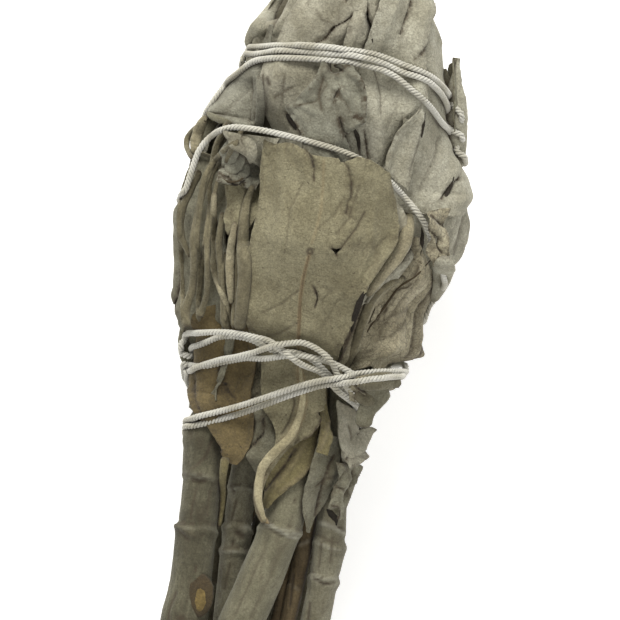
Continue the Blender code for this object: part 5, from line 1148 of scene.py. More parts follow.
sage_leaf(
    "left_crumple", [(-16.2, 24.3), (-17.2, 22), (-17.3, 20), (-16.9, 18.4)],
    [(-11.8, 23.6), (-11.9, 21.5), (-12.2, 19.8), (-12.6, 18)],
    CRUMPLED, rows=7, cols=5, ragged=0.4, wave=0.2, wrinkle=0.08, curl=0.8, reach=(0.6, 1.6, 0.6, 0.6), creased=0.9,
    strokes=[
        (0.5, 0.9, 0, 0, [(-15.5, 21.4), (-14.5, 23.3), (-13.1, 22.9), (-12.1, 20.7), (-12.4, 19), (-14, 18.7),
            (-15, 19.5), (-15.5, 21.2)]),
        (0.35, -0.5, 0.95, 0.2, [(-17.2, 18.7), (-15.4, 18.8), (-14.7, 17.8), (-12.9, 17.8), (-12.3, 19.3)]),
        (0.5, -0.6, 0.5, 0, [(-14.4, 21.6), (-13.4, 20.6), (-13.8, 19.6)]),
        (0.3, -0.4, 0.8, 0.12, [(-15, 22.8), (-13.6, 21.8), (-12.6, 22.4)])])
sage_leaf(
    "left_knob", [(-15.6, 25.4), (-15, 24), (-13.4, 22.6), (-12.4, 21.4)],
    [(-11.4, 25.7), (-11.4, 24), (-11.5, 22.4), (-11.7, 21.3)],
    SAGE, rows=6, reach=(1, 0.8, 0.6, 0.6),
    strokes=[
        (0.5, 0.7, 0, 0, [(-15.5, 25.4), (-14.9, 24.5), (-12.9, 23.6), (-11.6, 21.8)]),
        (0.4, -0.5, 0.8, 0.1, [(-14.4, 25.4), (-13.6, 24.6), (-12.2, 24.4)])])

# Leaves round the foot of the front: one long leaf with a stout midrib that runs down over the stems, the torn
# and curled leaves on both sides of it, and scraps caught between the stems. The lowest turns hold them.
sage_leaf(
    "olive_leaf", [(3.2, -17), (1.8, -21), (0.5, -25), (-0.7, -28.5), (-0.8, -31), (-0.5, -32.3)],
    [(7, -17), (7, -21), (6.2, -24.5), (3.9, -27.2), (1.7, -29.7), (0.2, -32.2)],
    OLIVE, rows=11, reach=(0.4, 0.2, 1.2, 0),
    strokes=[
        (0.28, -0.35, 0.9, 0.07, [(2.9, -21.9), (1.4, -25.5), (-0.6, -29.4)]),
        (0.5, 0.35, -0.2, 0, [(4, -21), (2.6, -25), (0.6, -28.6)]),
        (0.4, 0.3, -0.3, 0, [(6.6, -21), (6, -24.2), (4, -26.8), (1.8, -29)])])
sage_leaf(
    "brown_thin_leaf", [(7.3, -20), (6.7, -24), (6.3, -29), (6.9, -33), (7.8, -34.8)],
    [(10, -20), (10.2, -25), (9.2, -29), (8.5, -32), (8.4, -34.8)],
    GREY, cols=3, reach=(0.8, 2.0, 1, 0), creased=0.8,
    strokes=[
        (0.3, -0.3, 0.6, 0.05, [(8.8, -22), (8, -27), (7.8, -32)]),
        (0.3, -0.25, 0.5, 0, [(9.8, -25), (8.2, -26), (7, -27.4)]),
        (0.4, 0.4, 0, 0, [(9.4, -22), (9, -27), (8.3, -32)])])
sage_leaf(
    "stem_scrap", [(9.6, -23), (10.2, -26), (9.6, -29), (9.6, -32)],
    [(14, -23), (14.4, -26), (13.8, -29), (13.4, -32)],
    GREY, rows=7, ragged=0.4, wave=0.55, wrinkle=0.3, creased=2, curl=0.7, tear=0.5, tear_size=1.4,
    cut_away=[
        [(9, -30.2), (10, -30.5), (10.9, -30.2), (11.3, -31.3), (10.8, -32.6), (9, -33.4)],
        [(13, -22), (13.4, -25), (12.8, -26.4), (12.9, -28), (12.4, -29.4), (12.7, -31), (12.3, -34), (17, -34),
            (17, -22)]],
    strokes=[
        (0.5, 0.7, 0, 0, [(10.4, -23.4), (11.6, -25.4), (11, -28), (11.6, -30)]),
        (0.35, -0.6, 0.8, 0.1, [(12.2, -24), (12.5, -26.5), (11.9, -29)]),
        (0.4, 0.6, 0, 0, [(13, -25.6), (13.4, -27.6), (12.6, -29.4)]),
        (0.35, -0.5, 0.8, 0.06, [(10, -26.6), (11.4, -27.2)]),
        (0.4, 0.3, 0.9, 0, [(10, -30.1), (11, -30), (11.4, -31.4), (10.8, -32.8)])])
sage_leaf(
    "straight_strip", [(7.8, -10), (7.6, -14), (6.8, -18), (6.2, -22)],
    [(10.4, -10), (9.8, -14), (9, -18), (8.2, -22.2)],
    OLIVE, rows=9, cols=3, reach=(0.5, 0.3, 1, 0),
    strokes=[
        (0.35, 0.3, -0.4, 0, [(8.2, -10.6), (7.9, -14), (7.2, -18), (6.6, -21.4)]),
        (0.3, -0.25, 0.4, 0, [(9.4, -11), (9, -14), (8.2, -18)])])
sage_leaf(
    "flag_leaf", [(10.7, -14.8), (10.5, -18), (10.3, -21), (10.3, -23.6)],
    [(14.6, -15.4), (15.4, -17.4), (13.8, -20.4), (12.2, -23)],
    SAGE, rows=7, reach=(0.3, 1.6, 1.5, 0),
    cut_away=[[(15.6, -14), (15.7, -17.6), (14.9, -20.4), (12.8, -22.6), (11.2, -24.4), (17, -26), (19, -14)]],
    strokes=[
        (0.5, 0.5, 0, 0, [(11.4, -15.6), (12.6, -17.4), (15, -17.4)]),
        (0.35, -0.4, 0.7, 0.1, [(10.6, -22.6), (12.2, -20.6), (14.2, -19.8)]),
        (0.3, -0.15, 0.9, 0.12, [(12.4, -18), (13, -18.3)]),
        (0.3, -0.3, 0.5, 0, [(11, -17), (11.8, -20), (11, -22.6)])])
sage_leaf(
    "front_leaf", [(-0.5, -34.6), (-1.8, -33), (-2.6, -30.5), (-2.3, -27.5), (-1.4, -25), (-0.5, -22.8),
     (-0.6, -20.6), (-1.6, -18.6), (-3.8, -16.4), (-4.8, -14), (-5.6, -11), (-6.6, -8), (-8, -5), (-8.8, 0),
     (-9.5, 5), (-10, 10), (-10.4, 15), (-10.8, 20), (-11, 25)],
    [(0.9, -34.6), (-0.2, -33), (-1, -30.5), (-0.8, -27.5), (0.2, -25), (1.4, -22.8), (3.4, -20.8), (5.4, -19),
     (6.1, -16.8), (7.1, -14.4), (7.6, -11), (7.4, -8), (7.4, -4), (8.4, 0.5), (9.3, 5), (11.4, 10), (13.1, 14.6),
     (12.2, 19), (10, 24.6)],
    FRONT, rows=27, cols=9, ragged=0.12, tear=0.2, grid=0.22, reach=(0, 0, 0, 1.4),
    cut_away=[
        [(-12, 26.4), (-11.3, 25.8), (-8.9, 25.4), (-6.4, 26), (-3.9, 25.3), (-2.8, 24.7), (-0.8, 24.7), (1.6, 24.8),
            (2.2, 24.2), (3.5, 24.9), (4.6, 25.6), (6.7, 25.4), (8.7, 24.6), (9.6, 24.1), (12, 24), (12, 30),
            (-12, 30)],
        [(9, -11), (6.9, -12.4), (7.3, -13.2), (6.2, -14.2), (6.3, -15), (5.4, -15.7), (6.4, -17), (9, -17)]],
    strokes=[
        (0.35, -0.45, 0.5, 0.05, [(-3.9, 25.3), (-2.7, 24.3), (-1.9, 22.5), (-1.6, 20.6)]),
        (0.9, 0.4, 0, 0, [(-5, 25), (-3.6, 23.5), (-2.9, 20.6)]),
        (0.3, -0.35, 0.45, 0.04, [(2.1, 24.9), (3.5, 23.5), (4.3, 21.3), (4.7, 18.9), (4.3, 18.2), (4.4, 16.3)]),
        (0.8, 0.3, 0, 0, [(3, 24.6), (4.6, 22.6), (5.6, 19.6)]),
        (0.9, 0.35, 0, 0, [(-10.4, 24), (-10.2, 17), (-9.8, 10), (-9, 3), (-8, -3)]),
        (0.3, -0.14, 0.35, 0, [(5.6, 21.1), (5.3, 19.4), (5.1, 17.7), (4.9, 15.7), (3.4, 13)]),
        (0.15, -0.05, 0.22, 0, [(4.1, 16.4), (6.3, 15.6)]), (0.15, -0.05, 0.2, 0, [(4.3, 17.6), (6.7, 16.9)]),
        (0.15, -0.05, 0.22, 0, [(4.5, 18.8), (6.4, 18.2)]),
        (0.3, -0.35, 1.0, 0.3, [(3, 10.5), (3.8, 10.2), (4.4, 10.7)]),
        (0.25, -0.3, 1.0, 0.14, [(3.8, 10.3), (3.9, 9.7)]),
        (0.22, -0.16, 0.55, 0, [(4.4, 10.7), (5.1, 12.1), (6.3, 14.3), (7.2, 17.1)]),
        (0.25, 0.2, 0.7, 0, [(-0.7, 9.4), (-0.5, 9.9), (0, 9.9), (0.1, 9.3), (-0.4, 9.1), (-0.7, 9.4)]),
        (0.28, 0.3, -1.0, 0, [(-0.3, 9.1), (-0.5, 6.8), (-0.6, 4.8), (-0.5, 1.8), (-0.1, -1.4), (0.3, -4.4),
            (0.8, -7.6), (1.4, -9.6)]),
        (0.28, 0.14, -0.35, 0, [(-0.2, 10.8), (0.1, 12.9), (0.3, 16.2), (-0.1, 20.4), (-0.6, 24)]),
        (0.24, -0.25, 1.0, 0.13, [(1.6, 3.6), (2.2, 2.4), (2.2, 1.9), (2, 0.8)]),
        (0.2, -0.1, 0.5, 0, [(1, 4.2), (1.4, 3.9), (1.6, 3.5)]),
        (0.22, -0.12, 0.3, 0, [(-1, 3), (-3.4, 0.4), (-6, -1.4)]),
        (0.22, -0.12, 0.3, 0, [(0, -2), (-2.6, -4), (-5.6, -5.4)]),
        (0.22, -0.12, 0.3, 0, [(0.2, 13), (2.6, 16), (3.6, 19)]),
        (0.3, -0.14, 0.25, 0, [(-3.2, 20), (-4.6, 15.6), (-4.2, 10)]),
        (0.5, 0.25, 0, 0, [(6.6, 22.6), (8.4, 18.4), (9, 13), (8, 6), (6.6, -1)]),
        (0.6, 0.9, 0, 0, [(13, 17), (12.2, 13), (10.6, 9.4), (9.3, 5), (8.4, 1), (7.6, -4)]),
        (0.75, 1.1, -0.85, 0, [(1.4, -9.6), (2.2, -12), (2.7, -14.4), (2.6, -17), (1.8, -20.1), (-0.3, -23.1),
            (-1.7, -25.7), (-1.9, -28.4), (-1.5, -31), (-0.5, -33.4), (0.4, -34.6)]),
        (0.35, -0.2, 0.5, 0, [(0.6, -12), (1.6, -15), (1.2, -18), (0.4, -20)]),
        (0.35, 0.3, 0.45, 0, [(7.4, -11.4), (7.2, -13.7), (6.4, -15.6), (5.8, -17.4), (5.2, -19.1), (3.4, -20.9),
            (2.2, -22.2)])])
sage_leaf(
    "brown_crumple", [(16.9, 18.8), (16.9, 16.8), (17.8, 14.8), (17.9, 12), (18.6, 10.4)],
    [(19.4, 20.2), (19.9, 17.6), (20, 15), (19.9, 12.6), (19.6, 10.6)],
    DRY, rows=9, cols=5, ragged=0.35, wave=0.3, wrinkle=0.2, creased=1.8,
    strokes=[
        (0.35, -0.45, 0.9, 0.1, [(17.2, 16.5), (19.1, 14.9), (19, 13.9), (19.8, 13)]),
        (0.35, -0.4, 0.8, 0.08, [(17.4, 18.4), (18.6, 17.4), (19.8, 17)]),
        (0.5, 0.6, 0.1, 0, [(17.8, 19), (18.2, 17), (18.8, 15.6)]),
        (0.4, 0.5, 0.2, 0, [(18.4, 14), (18.7, 12), (19.2, 11)])])
# What is torn off both lobes
LOBE_TORN_OFF = [(16.8, -5), (17.7, -8.8), (17, -10), (15.4, -11.4), (14.2, -12.7), (13.6, -16), (22, -16), (22, -5)]
sage_leaf(
    "under_lobe", [(9, -11), (11.5, -10.9), (14, -11), (16.6, -11.2)],
    [(9.3, -13), (11.5, -13.2), (13.4, -14), (15.4, -13.4)],
    DRY, rows=7, reach=(0.6, 0, 0.6, 0.6),
    cut_away=[LOBE_TORN_OFF],
    strokes=[
        (0.4, 0.35, 0.2, 0, [(9.6, -11.8), (12, -12.2), (14.4, -12.6)]),
        (0.25, -0.3, 0.6, 0.05, [(11, -11.4), (12.4, -12.8)])])
sage_leaf(
    "lobe_leaf", [(9.6, -9.8), (12, -8.9), (15, -8.6), (18.4, -9.6)],
    [(9.8, -11), (12, -11.9), (15, -11.8), (18, -10.6)],
    DRY, rows=8, reach=(1.2, 0.4, 0.6, 0),
    cut_away=[LOBE_TORN_OFF],
    strokes=[
        (0.6, 0.5, 0, 0, [(10.4, -9.8), (13.5, -9.4), (17, -9.6)]),
        (0.25, -0.25, 0.5, 0, [(12, -9.4), (13.4, -11.2)]),
        (0.4, -0.3, 0.7, 0, [(10.4, -10.8), (13.6, -11), (17, -10.6)])])

# Petioles and rolls. Leaf stalks dried to smooth round tan rods with fine stripes, and leaves that have rolled
# up tight as they dried. They run down the left side, held under the twine.
STALK = plant_look("stalk_tan", (0.21, 0.185, 0.114), (0.12, 0.104, 0.062), sheen=0.1, Net=0.0, Specks=0.25,
                   Stripes=1.0, Wear=0.8)
ROLL_SIDES = 20


def around(centre):
    """Two directions across a line at each of its points: (sideways, up)."""
    ahead = np.gradient(centre, axis=0)
    ahead /= np.linalg.norm(ahead, axis=1)[:, None]
    side = np.cross(ahead, (0, 0, 1.0))
    side /= np.linalg.norm(side, axis=1)[:, None]
    return side, np.cross(side, ahead)


def rod_faces(points, centre, sides):
    """Faces of a rod closed at its ends, turned outwards."""
    faces = [tuple(f) for f in tube_faces(len(centre), sides)]
    faces += [tuple(range(sides - 1, -1, -1)), tuple(range((len(centre) - 1) * sides, len(centre) * sides))]
    f = np.array(faces[:-2])
    way = np.cross(points[f[:, 1]] - points[f[:, 0]], points[f[:, 2]] - points[f[:, 0]])
    if (way * (points[f[:, 0]] - np.repeat(centre, sides, 0)[f[:, 0]])).sum() < 0:
        faces = [q[::-1] for q in faces]
    return faces


def stalk(name, left, right, look=STALK, rows=10, ragged=0.1, fat=1.0, spiral=0.0, reach=0.0):
    """A round stalk or a tight roll as wide as it is drawn, along the middle of its solid."""
    bumps, calm, fine = 0.05, 12, 0.3
    seed = sum(map(ord, name)) % 997
    angle, along, low, high = solid_grid(name, left, right, 0, rows, 3, ragged)
    x0, y0 = even_line(left, 200).T
    length = np.hypot(np.diff(x0), np.diff(y0)).sum()
    at = np.linspace(-reach / length, 1 + reach / length, int((length + 2 * reach) / fine))
    (x0, y0), (x1, y1) = reach_line(left, at), reach_line(right, at)
    radius = np.hypot(x1 - x0, y1 - y0) / 2 * fat
    solid = place(angle, along, (low + high) / 2)
    depth = solid[:, 1, 2] * 0.5 + np.maximum(solid[:, 0, 2], solid[:, -1, 2]) * 0.5
    depth = smooth_weights(at, rows) @ depth
    for _ in range(calm):
        depth[1:-1] = (depth[2:] + 2 * depth[1:-1] + depth[:-2]) / 4
    centre = np.stack([(x0 + x1) / 2 + SHIFT_X, (y0 + y1) / 2 + SHIFT_Y, depth], 1)
    side, up = around(centre)
    turn = 2 * np.pi * np.arange(ROLL_SIDES) / ROLL_SIDES
    grow = 1 - spiral * (turn / (2 * np.pi))
    round_it = (radius[:, None] * grow)[..., None] * (np.cos(turn)[None, :, None] * side[:, None]
                                                      + np.sin(turn)[None, :, None] * up[:, None])
    spot = centre[:, None] + round_it
    round_it = round_it * (1 + bumps / radius[:, None] * rough(spot * (1, 0.25, 1), 0.9, seed))[..., None]
    row = np.arange(len(at))
    ends = np.clip(np.minimum(row, row[::-1]) / 2.5 + 0.4, 0, 1) ** 0.5
    points = centre[:, None] + round_it * ends[:, None, None]
    middle_angle, middle_along, _ = on_stick(centre)
    a = np.radians(middle_angle)
    inwards = np.stack([np.sin(a), 0 * a, np.cos(a)], -1) * (BITE * press(middle_angle, middle_along))[:, None]
    points = (points - inwards[:, None]).reshape(-1, 3)
    marks = np.zeros((len(at), ROLL_SIDES, 3))
    marks[..., 1] = 0.8 * (hump(row, 1.5) + hump(row[::-1], 1.5))[:, None]
    piece = new_piece(name + "_rod", points, rod_faces(points, centre, ROLL_SIDES), look, marks.reshape(-1, 3))
    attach(piece, "root")
    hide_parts(name)


stalk("petiole_outer", [(-21.6, 19), (-22.3, 15), (-22, 11), (-20.8, 8), (-18.9, 5)],
      [(-20, 19.3), (-20.7, 15), (-20.4, 11), (-19.4, 8.3), (-17.9, 5.6)], fat=0.75, rows=9)
stalk("petiole_second", [(-18.2, 26.4), (-19.2, 22), (-19.9, 17), (-19.6, 12), (-18.9, 7), (-18, 2), (-17.4, -2),
       (-16.4, -5)],
      [(-16.8, 26.2), (-17.7, 22), (-18.4, 17), (-18.1, 12), (-17.4, 7), (-16.6, 2), (-16, -2), (-15.3, -4.4)],
      reach=1.2, fat=0.8, rows=14)
stalk("petiole_third", [(-15.6, 25.6), (-17, 22), (-17.7, 18.6), (-17.6, 15), (-17.1, 10), (-16.4, 5), (-15.6, 1),
       (-15, -2.8)],
      [(-14.4, 25.4), (-15.8, 22), (-16.6, 18.6), (-16.4, 15), (-15.9, 10), (-15.2, 5), (-14.4, 1), (-13.9, -2.8)],
      reach=1.2, fat=0.75, rows=13)
stalk("petiole_fourth", [(-15.6, 12), (-15.2, 8), (-14.2, 4), (-13.2, 0.5), (-12.4, -2), (-11.8, -4.2)],
      [(-14.3, 12), (-13.8, 8), (-12.8, 4), (-11.8, 0.5), (-11, -2), (-10.5, -4.2)], reach=1.2, fat=0.8, rows=9)
stalk("petiole_fifth", [(-12.2, 20.5), (-12.9, 15), (-13.1, 10), (-12.4, 5), (-11.5, 1), (-10.9, -3.6)],
      [(-10.9, 20.5), (-11, 15), (-10.6, 10), (-10.2, 5), (-9.6, 1), (-9, -3.6)], reach=1.2, fat=0.6, rows=11,
      ragged=0.15)
stalk("dry_roll", [(-8.5, -25), (-8.2, -29), (-7.6, -33), (-7.5, -36.5)],
      [(-7.1, -25.6), (-7.1, -29), (-6.6, -33), (-6.6, -36.5)], OLIVE, rows=8, spiral=0.2)
stalk("left_loop", [(-21.4, 27.4), (-23.4, 25), (-23.6, 22.6), (-22.2, 20.4)],
      [(-20.7, 27), (-22.4, 24.8), (-22.6, 22.6), (-21.4, 20.9)], rows=7, ragged=0.05)


# Strands lying on the leaves: thin stalks, midribs and rolled edges, dried hard, whose ends are tucked under the
# leaves or the twine. They touch what is under them all along.
# The front petiole's tan is paler than the other stalks: partly its own colour, partly a painted highlight along it.
PETIOLE = plant_look("petiole_tan", (0.44, 0.391, 0.249), (0.278, 0.241, 0.144), Net=0.0, Specks=0.3, Stripes=0.5)
MIDRIB = plant_look("midrib_brown", (0.19, 0.143, 0.078), (0.125, 0.092, 0.05), Net=0.0, Specks=0.3, Stripes=0.3)
FOLD = plant_look("fold_tan", (0.338, 0.304, 0.202), (0.223, 0.192, 0.118), Specks=0.4)
ROLLED = plant_look("rolled_grey", (0.176, 0.16, 0.105), (0.11, 0.0968, 0.0605), Net=0.3, Specks=0.5)
BUD = plant_look("bud_brown", (0.07, 0.05, 0.024), (0.04, 0.028, 0.014), Specks=0.6)
SCAR = plant_look("scar_golden", (0.21, 0.15, 0.05), (0.09, 0.06, 0.02), Net=0.2, Specks=0.8, Wear=0.6)


def pieces_so_far(as_seen):
    """All pieces made so far, to find what lies under a place, as they are seen or as their solids lie."""
    points, faces, count = [], [], 0
    for corners, sides in PIECES.values():
        corners = np.asarray(corners, float)
        points.append(stand_off(corners) if as_seen else corners)
        faces += [[v + count for v in q] for q in sides]
        count += len(corners)
    return BVHTree.FromPolygons(np.vstack(points).tolist(), faces)


seen_leaves = pieces_so_far(True)
STRAND_SIDES = 12


def lay_strand(name, line, widths, look, flat=0.6, sunk=0.3, bumps=0.07, over=None, beside=0.0):
    """A strand along drawn points, as wide as widths from end to end, that lies on whatever is seen there from the
    front, also as far beside it as beside. It may be flattened, sunk in by that share, or lie over the axis."""
    calm, fine, above = 6, 0.28, 80.0
    seed = sum(map(ord, name)) % 997
    length = np.hypot(*np.diff(np.array(line, float), axis=0).T).sum()
    count = max(12, int(length / fine))
    x, y = even_line(line, count).T
    radius = np.interp(np.linspace(0, 1, count), np.linspace(0, 1, len(widths)), widths) / 2
    height = []
    for a, b in zip(x + SHIFT_X, y + SHIFT_Y):
        hits = [seen_leaves.ray_cast(Vector((a + away, b, above)), Vector((0, 0, -1.0)))[0]
                for away in (-beside, 0, beside)]
        height.append(max([hit[2] for hit in hits if hit], default=np.nan))
    height = np.array(height)
    known = ~np.isnan(height)
    height = np.interp(np.arange(count), np.flatnonzero(known), height[known])
    top = height.copy()
    # Taut over hollows, and no more than a little into what is high
    for _ in range(calm):
        pad = np.pad(top, 1, mode="edge")
        top = np.maximum((pad[:-2] + pad[1:-1] + pad[2:]) / 3, height - 0.15)
    for _ in range(calm):
        pad = np.pad(top, 1, mode="edge")
        top = (pad[:-2] + 2 * pad[1:-1] + pad[2:]) / 4
    if over is not None:
        top = axis_height(y) + over
    centre = np.stack([x + SHIFT_X, y + SHIFT_Y, top + radius * flat * (1 - 2 * sunk)], 1)
    side, up = around(centre)
    turn = 2 * np.pi * np.arange(STRAND_SIDES) / STRAND_SIDES
    row = np.arange(count)
    ends = np.clip(np.minimum(row, row[::-1]) / 3 + 0.25, 0, 1) ** 0.5
    round_it = (radius * ends)[:, None, None] * (np.cos(turn)[None, :, None] * side[:, None]
                                                 + flat * np.sin(turn)[None, :, None] * up[:, None])
    bumpy = rough(centre[:, None] + round_it * (1, 0.3, 1), 0.7, seed)
    round_it = round_it * (1 + bumps * bumpy / radius.mean())[..., None]
    points = (centre[:, None] + round_it).reshape(-1, 3)
    marks = np.zeros((count, STRAND_SIDES, 3))
    marks[..., 1] = 0.6 * (hump(row, 1.5) + hump(row[::-1], 1.5))[:, None]
    piece = new_piece(name, points, rod_faces(points, centre, STRAND_SIDES), look, marks.reshape(-1, 3),
                      as_solid=False)
    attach(piece, "root")


lay_strand("stalk_strand_a", [(-15.2, 24.6), (-17.6, 21.4), (-18.9, 17.8), (-18.8, 12.8), (-18.4, 7.9), (-17.3, 4.2),
           (-16.7, 0.3), (-16.4, -2.3), (-15.8, -4.6)], (0.7, 1.1, 1.0, 0.8), STALK)
lay_strand("stalk_strand_b", [(-16.6, 22), (-17.9, 18), (-17.3, 13.1), (-17.1, 8.2), (-16.8, 4.2), (-16.4, -0.6)],
           (0.6, 0.8, 0.6), STALK)
lay_strand("stalk_strand_c", [(-17, 16.1), (-16.3, 11.6), (-15.3, 7.2), (-15, 4.5), (-13.6, 1.5), (-11.8, -1.5),
           (-11, -4.2)], (0.9, 1.3, 1.2, 0.7), FOLD)
lay_strand("stalk_strand_d", [(-11.1, 18.2), (-11.6, 14.7), (-11.1, 9.4), (-9.9, 3.9), (-9.4, -2.2), (-9.2, -5)],
           (1.0, 1.7, 2.3, 2.2, 1.8), STALK, beside=0.8)
lay_strand("stalk_strand_e", [(-20.4, 22), (-21.6, 18), (-21.9, 13), (-21.2, 8), (-19.8, 3), (-18.8, -3), (-18, -7)],
           (0.7, 1.0, 0.9, 0.6), STALK)
lay_strand("stalk_strand_f", [(-13.4, 8.4), (-13.6, 5), (-13, 1.6), (-12.2, -1.4), (-11.6, -4)], (0.5, 0.7, 0.5),
           STALK)
lay_strand("main_stalk", [(1.2, -8.6), (2.2, -12), (2.7, -14.4), (2.6, -17), (1.8, -20.1), (-0.3, -23.1),
           (-1.7, -25.7), (-1.9, -28.4), (-1.5, -31), (-0.5, -33.2), (0.2, -34.4)],
           (0.5, 0.9, 1.2, 1.4, 1.5, 1.3, 0.7), PETIOLE)
lay_strand("main_midrib", [(-0.3, 9.1), (-0.5, 6.8), (-0.6, 4.8), (-0.5, 1.8), (-0.1, -1.4), (0.3, -4.4), (0.8, -7.6),
           (1.3, -9)], (0.25, 0.35, 0.4, 0.45, 0.5), MIDRIB, sunk=0.42)
lay_strand("bud_scar", [(-8.3, -44.4), (-8.1, -46.5), (-7.8, -49), (-7.6, -51.3)], (1.6, 4.0, 4.2, 3.6, 1.4), BUD,
           flat=0.3)
lay_strand("bud_heart", [(-8.3, -45.6), (-8.1, -47), (-7.8, -49.2), (-7.7, -50.6)], (1.2, 2.3, 2.4, 1.3), SCAR)
lay_strand("crumple_rim", [(-17, 18.9), (-15.3, 18.1), (-13.4, 18.6), (-12.4, 19.8)], (0.25, 0.4, 0.4, 0.3), BUD)
lay_strand("crumple_fold_a", [(-16.3, 20.2), (-15.4, 22.2), (-14.5, 23.6)], (0.9, 2.4, 1.6), CRUMPLED, flat=0.25,
           bumps=0.2)
lay_strand("crumple_fold_b", [(-15.3, 19.2), (-14.5, 21.2), (-13.2, 22.6)], (1.5, 3.2, 1.4), CRUMPLED, flat=0.25,
           bumps=0.2)
lay_strand("crumple_fold_c", [(-13.4, 19), (-12.9, 20.6), (-12.5, 21.6)], (1.4, 2.6, 1.2), CRUMPLED, flat=0.3,
           bumps=0.2)
lay_strand("stalk_strand_g", [(-12.9, 12), (-12.8, 8), (-12.5, 5), (-11.9, 2), (-11.2, -1)],
           (0.8, 1.3, 1.5, 1.3, 0.8), FOLD, beside=1.1)
lay_strand("upper_gap_fold", [(-13.2, 35.6), (-12.5, 33), (-12, 30.5), (-11.8, 28.2), (-11.7, 26.6)],
           (0.8, 1.3, 1.5, 1.5, 1.0), LIT_GREY, beside=1.5)
lay_strand("knob_fold", [(-14.3, 25.4), (-12.9, 24.6), (-12.2, 23), (-12.1, 21.6)], (1.2, 2.4, 2.2, 0.8), SAGE)
lay_strand("torn_roll", [(13.4, -9.6), (13.9, -10.8), (13.6, -12.3), (13.2, -13.6), (12.9, -15), (13, -16.8)],
           (2.4, 5.0, 3.8, 2.9, 2.9, 2.6), GREY, flat=0.3)
lay_strand("pale_edge_fold", [(21.1, 12.5), (21.2, 10.6), (21.2, 8.6), (20.9, 6.6), (20.4, 4.9)],
           (2.2, 3.8, 3.0, 2.0, 1.2), PALE, flat=0.35, beside=1.5)
lay_strand("side_stalk", [(-20.4, 27.9), (-21.05, 25.9), (-21.3, 23.5), (-21.1, 21.5)], (1.0, 1.8, 1.9, 1.2), FOLD)
lay_strand("top_left_stalk", [(-15.6, 39.8), (-14.9, 42.2), (-13.5, 45), (-12.2, 48), (-11.2, 51.5), (-10.4, 55)],
           (2.0, 3.0, 2.6, 2.2, 1.8, 1.2), PALE)
lay_strand("flag_fold", [(10.9, -22.8), (12, -20.4), (13, -18.6), (14.2, -17.2), (15.2, -16.8)],
           (1.2, 3.4, 3.6, 2.4, 0.5), SAGE, flat=0.22)
lay_strand("tan_fold_strand", [(14.2, 18.4), (14.5, 15), (13.6, 11.5), (12.2, 8.8), (10.9, 6.2), (10, 4)],
           (1.4, 2.3, 2.4, 1.8, 1.0), FOLD)
lay_strand("grey_fold_strand", [(15.4, 8), (13.1, 6.6), (10.9, 4), (9.9, -0.4), (9.2, -5.2), (8.4, -8.6)],
           (0.8, 1.5, 1.5, 1.3, 1.0), STALK)
lay_strand("veined_rim", [(19, 11.6), (17.1, 8.6), (14.7, 6.2), (13, 2.8), (11.4, -0.4), (10.8, -2)],
           (0.25, 0.35, 0.3, 0.25), BUD)
lay_strand("curled_lip", [(-20.4, 28.4), (-19.2, 27.9), (-17.8, 27.6), (-16, 27.4)], (0.8, 1.2, 1.1, 0.6), GREY)
lay_strand("small_stalk_end", [(-14.6, 25), (-15.4, 23.4), (-16, 21)], (0.8, 1.0, 0.8), STALK)
lay_strand("lobe_roll", [(10.4, -10.2), (12.4, -9.6), (14.7, -8.9), (16.4, -8.7), (17.6, -9.2)],
           (1.4, 2.6, 3.0, 2.8, 1.6), ROLLED)
lay_strand("lobe_under", [(10.6, -12), (12.4, -11.8), (14.4, -11.4), (16, -10.8)], (1.6, 3.2, 3.4, 2.0), ROLLED,
           flat=0.35)
lay_strand("right_edge_fold", [(17.7, 44), (17.8, 42), (18, 39.5), (18.5, 36.5), (19.1, 33), (19.9, 29.4),
           (20.4, 25)], (0.4, 1.6, 3.6, 4.2, 3.8, 3, 1.4), PALE, flat=0.8, over=-1)
lay_strand("right_gap_leaf", [(15.9, 42), (16.6, 39.5), (17.2, 36.5), (17.8, 33.5)], (0.8, 2.2, 2.6, 2), GREY,
           flat=0.5, over=-2.5)
lay_strand("left_edge_leaf", [(-17.9, -5.2), (-17.2, -8), (-16.5, -10.5), (-15.8, -13)], (1.6, 3, 2.8, 1.4), GREY,
           flat=0.5, over=-2)
lay_strand("under_petiole", [(-2.7, -28), (-2.2, -32), (-2.7, -36)], (1.2, 1.6, 1.2), stem_looks["stem_thin"],
           flat=0.8, over=-3)
# A grey sheet set low in the gap left of the upper leaves, to darken it: painted shade.
lay_strand("left_gap_leaf", [(-19.4, 28.4), (-19.2, 25.8), (-18.9, 23), (-18.4, 20.5)], (2, 4, 4, 2), GREY, flat=0.4,
           over=-1)
lay_strand("thin_stem_side", [(5.8, -36), (5.2, -44), (4.9, -50), (4.4, -59)], (1.4, 2.2, 2.4, 2.3),
           stem_looks["stem_thin"], flat=1.0, over=-0.6)

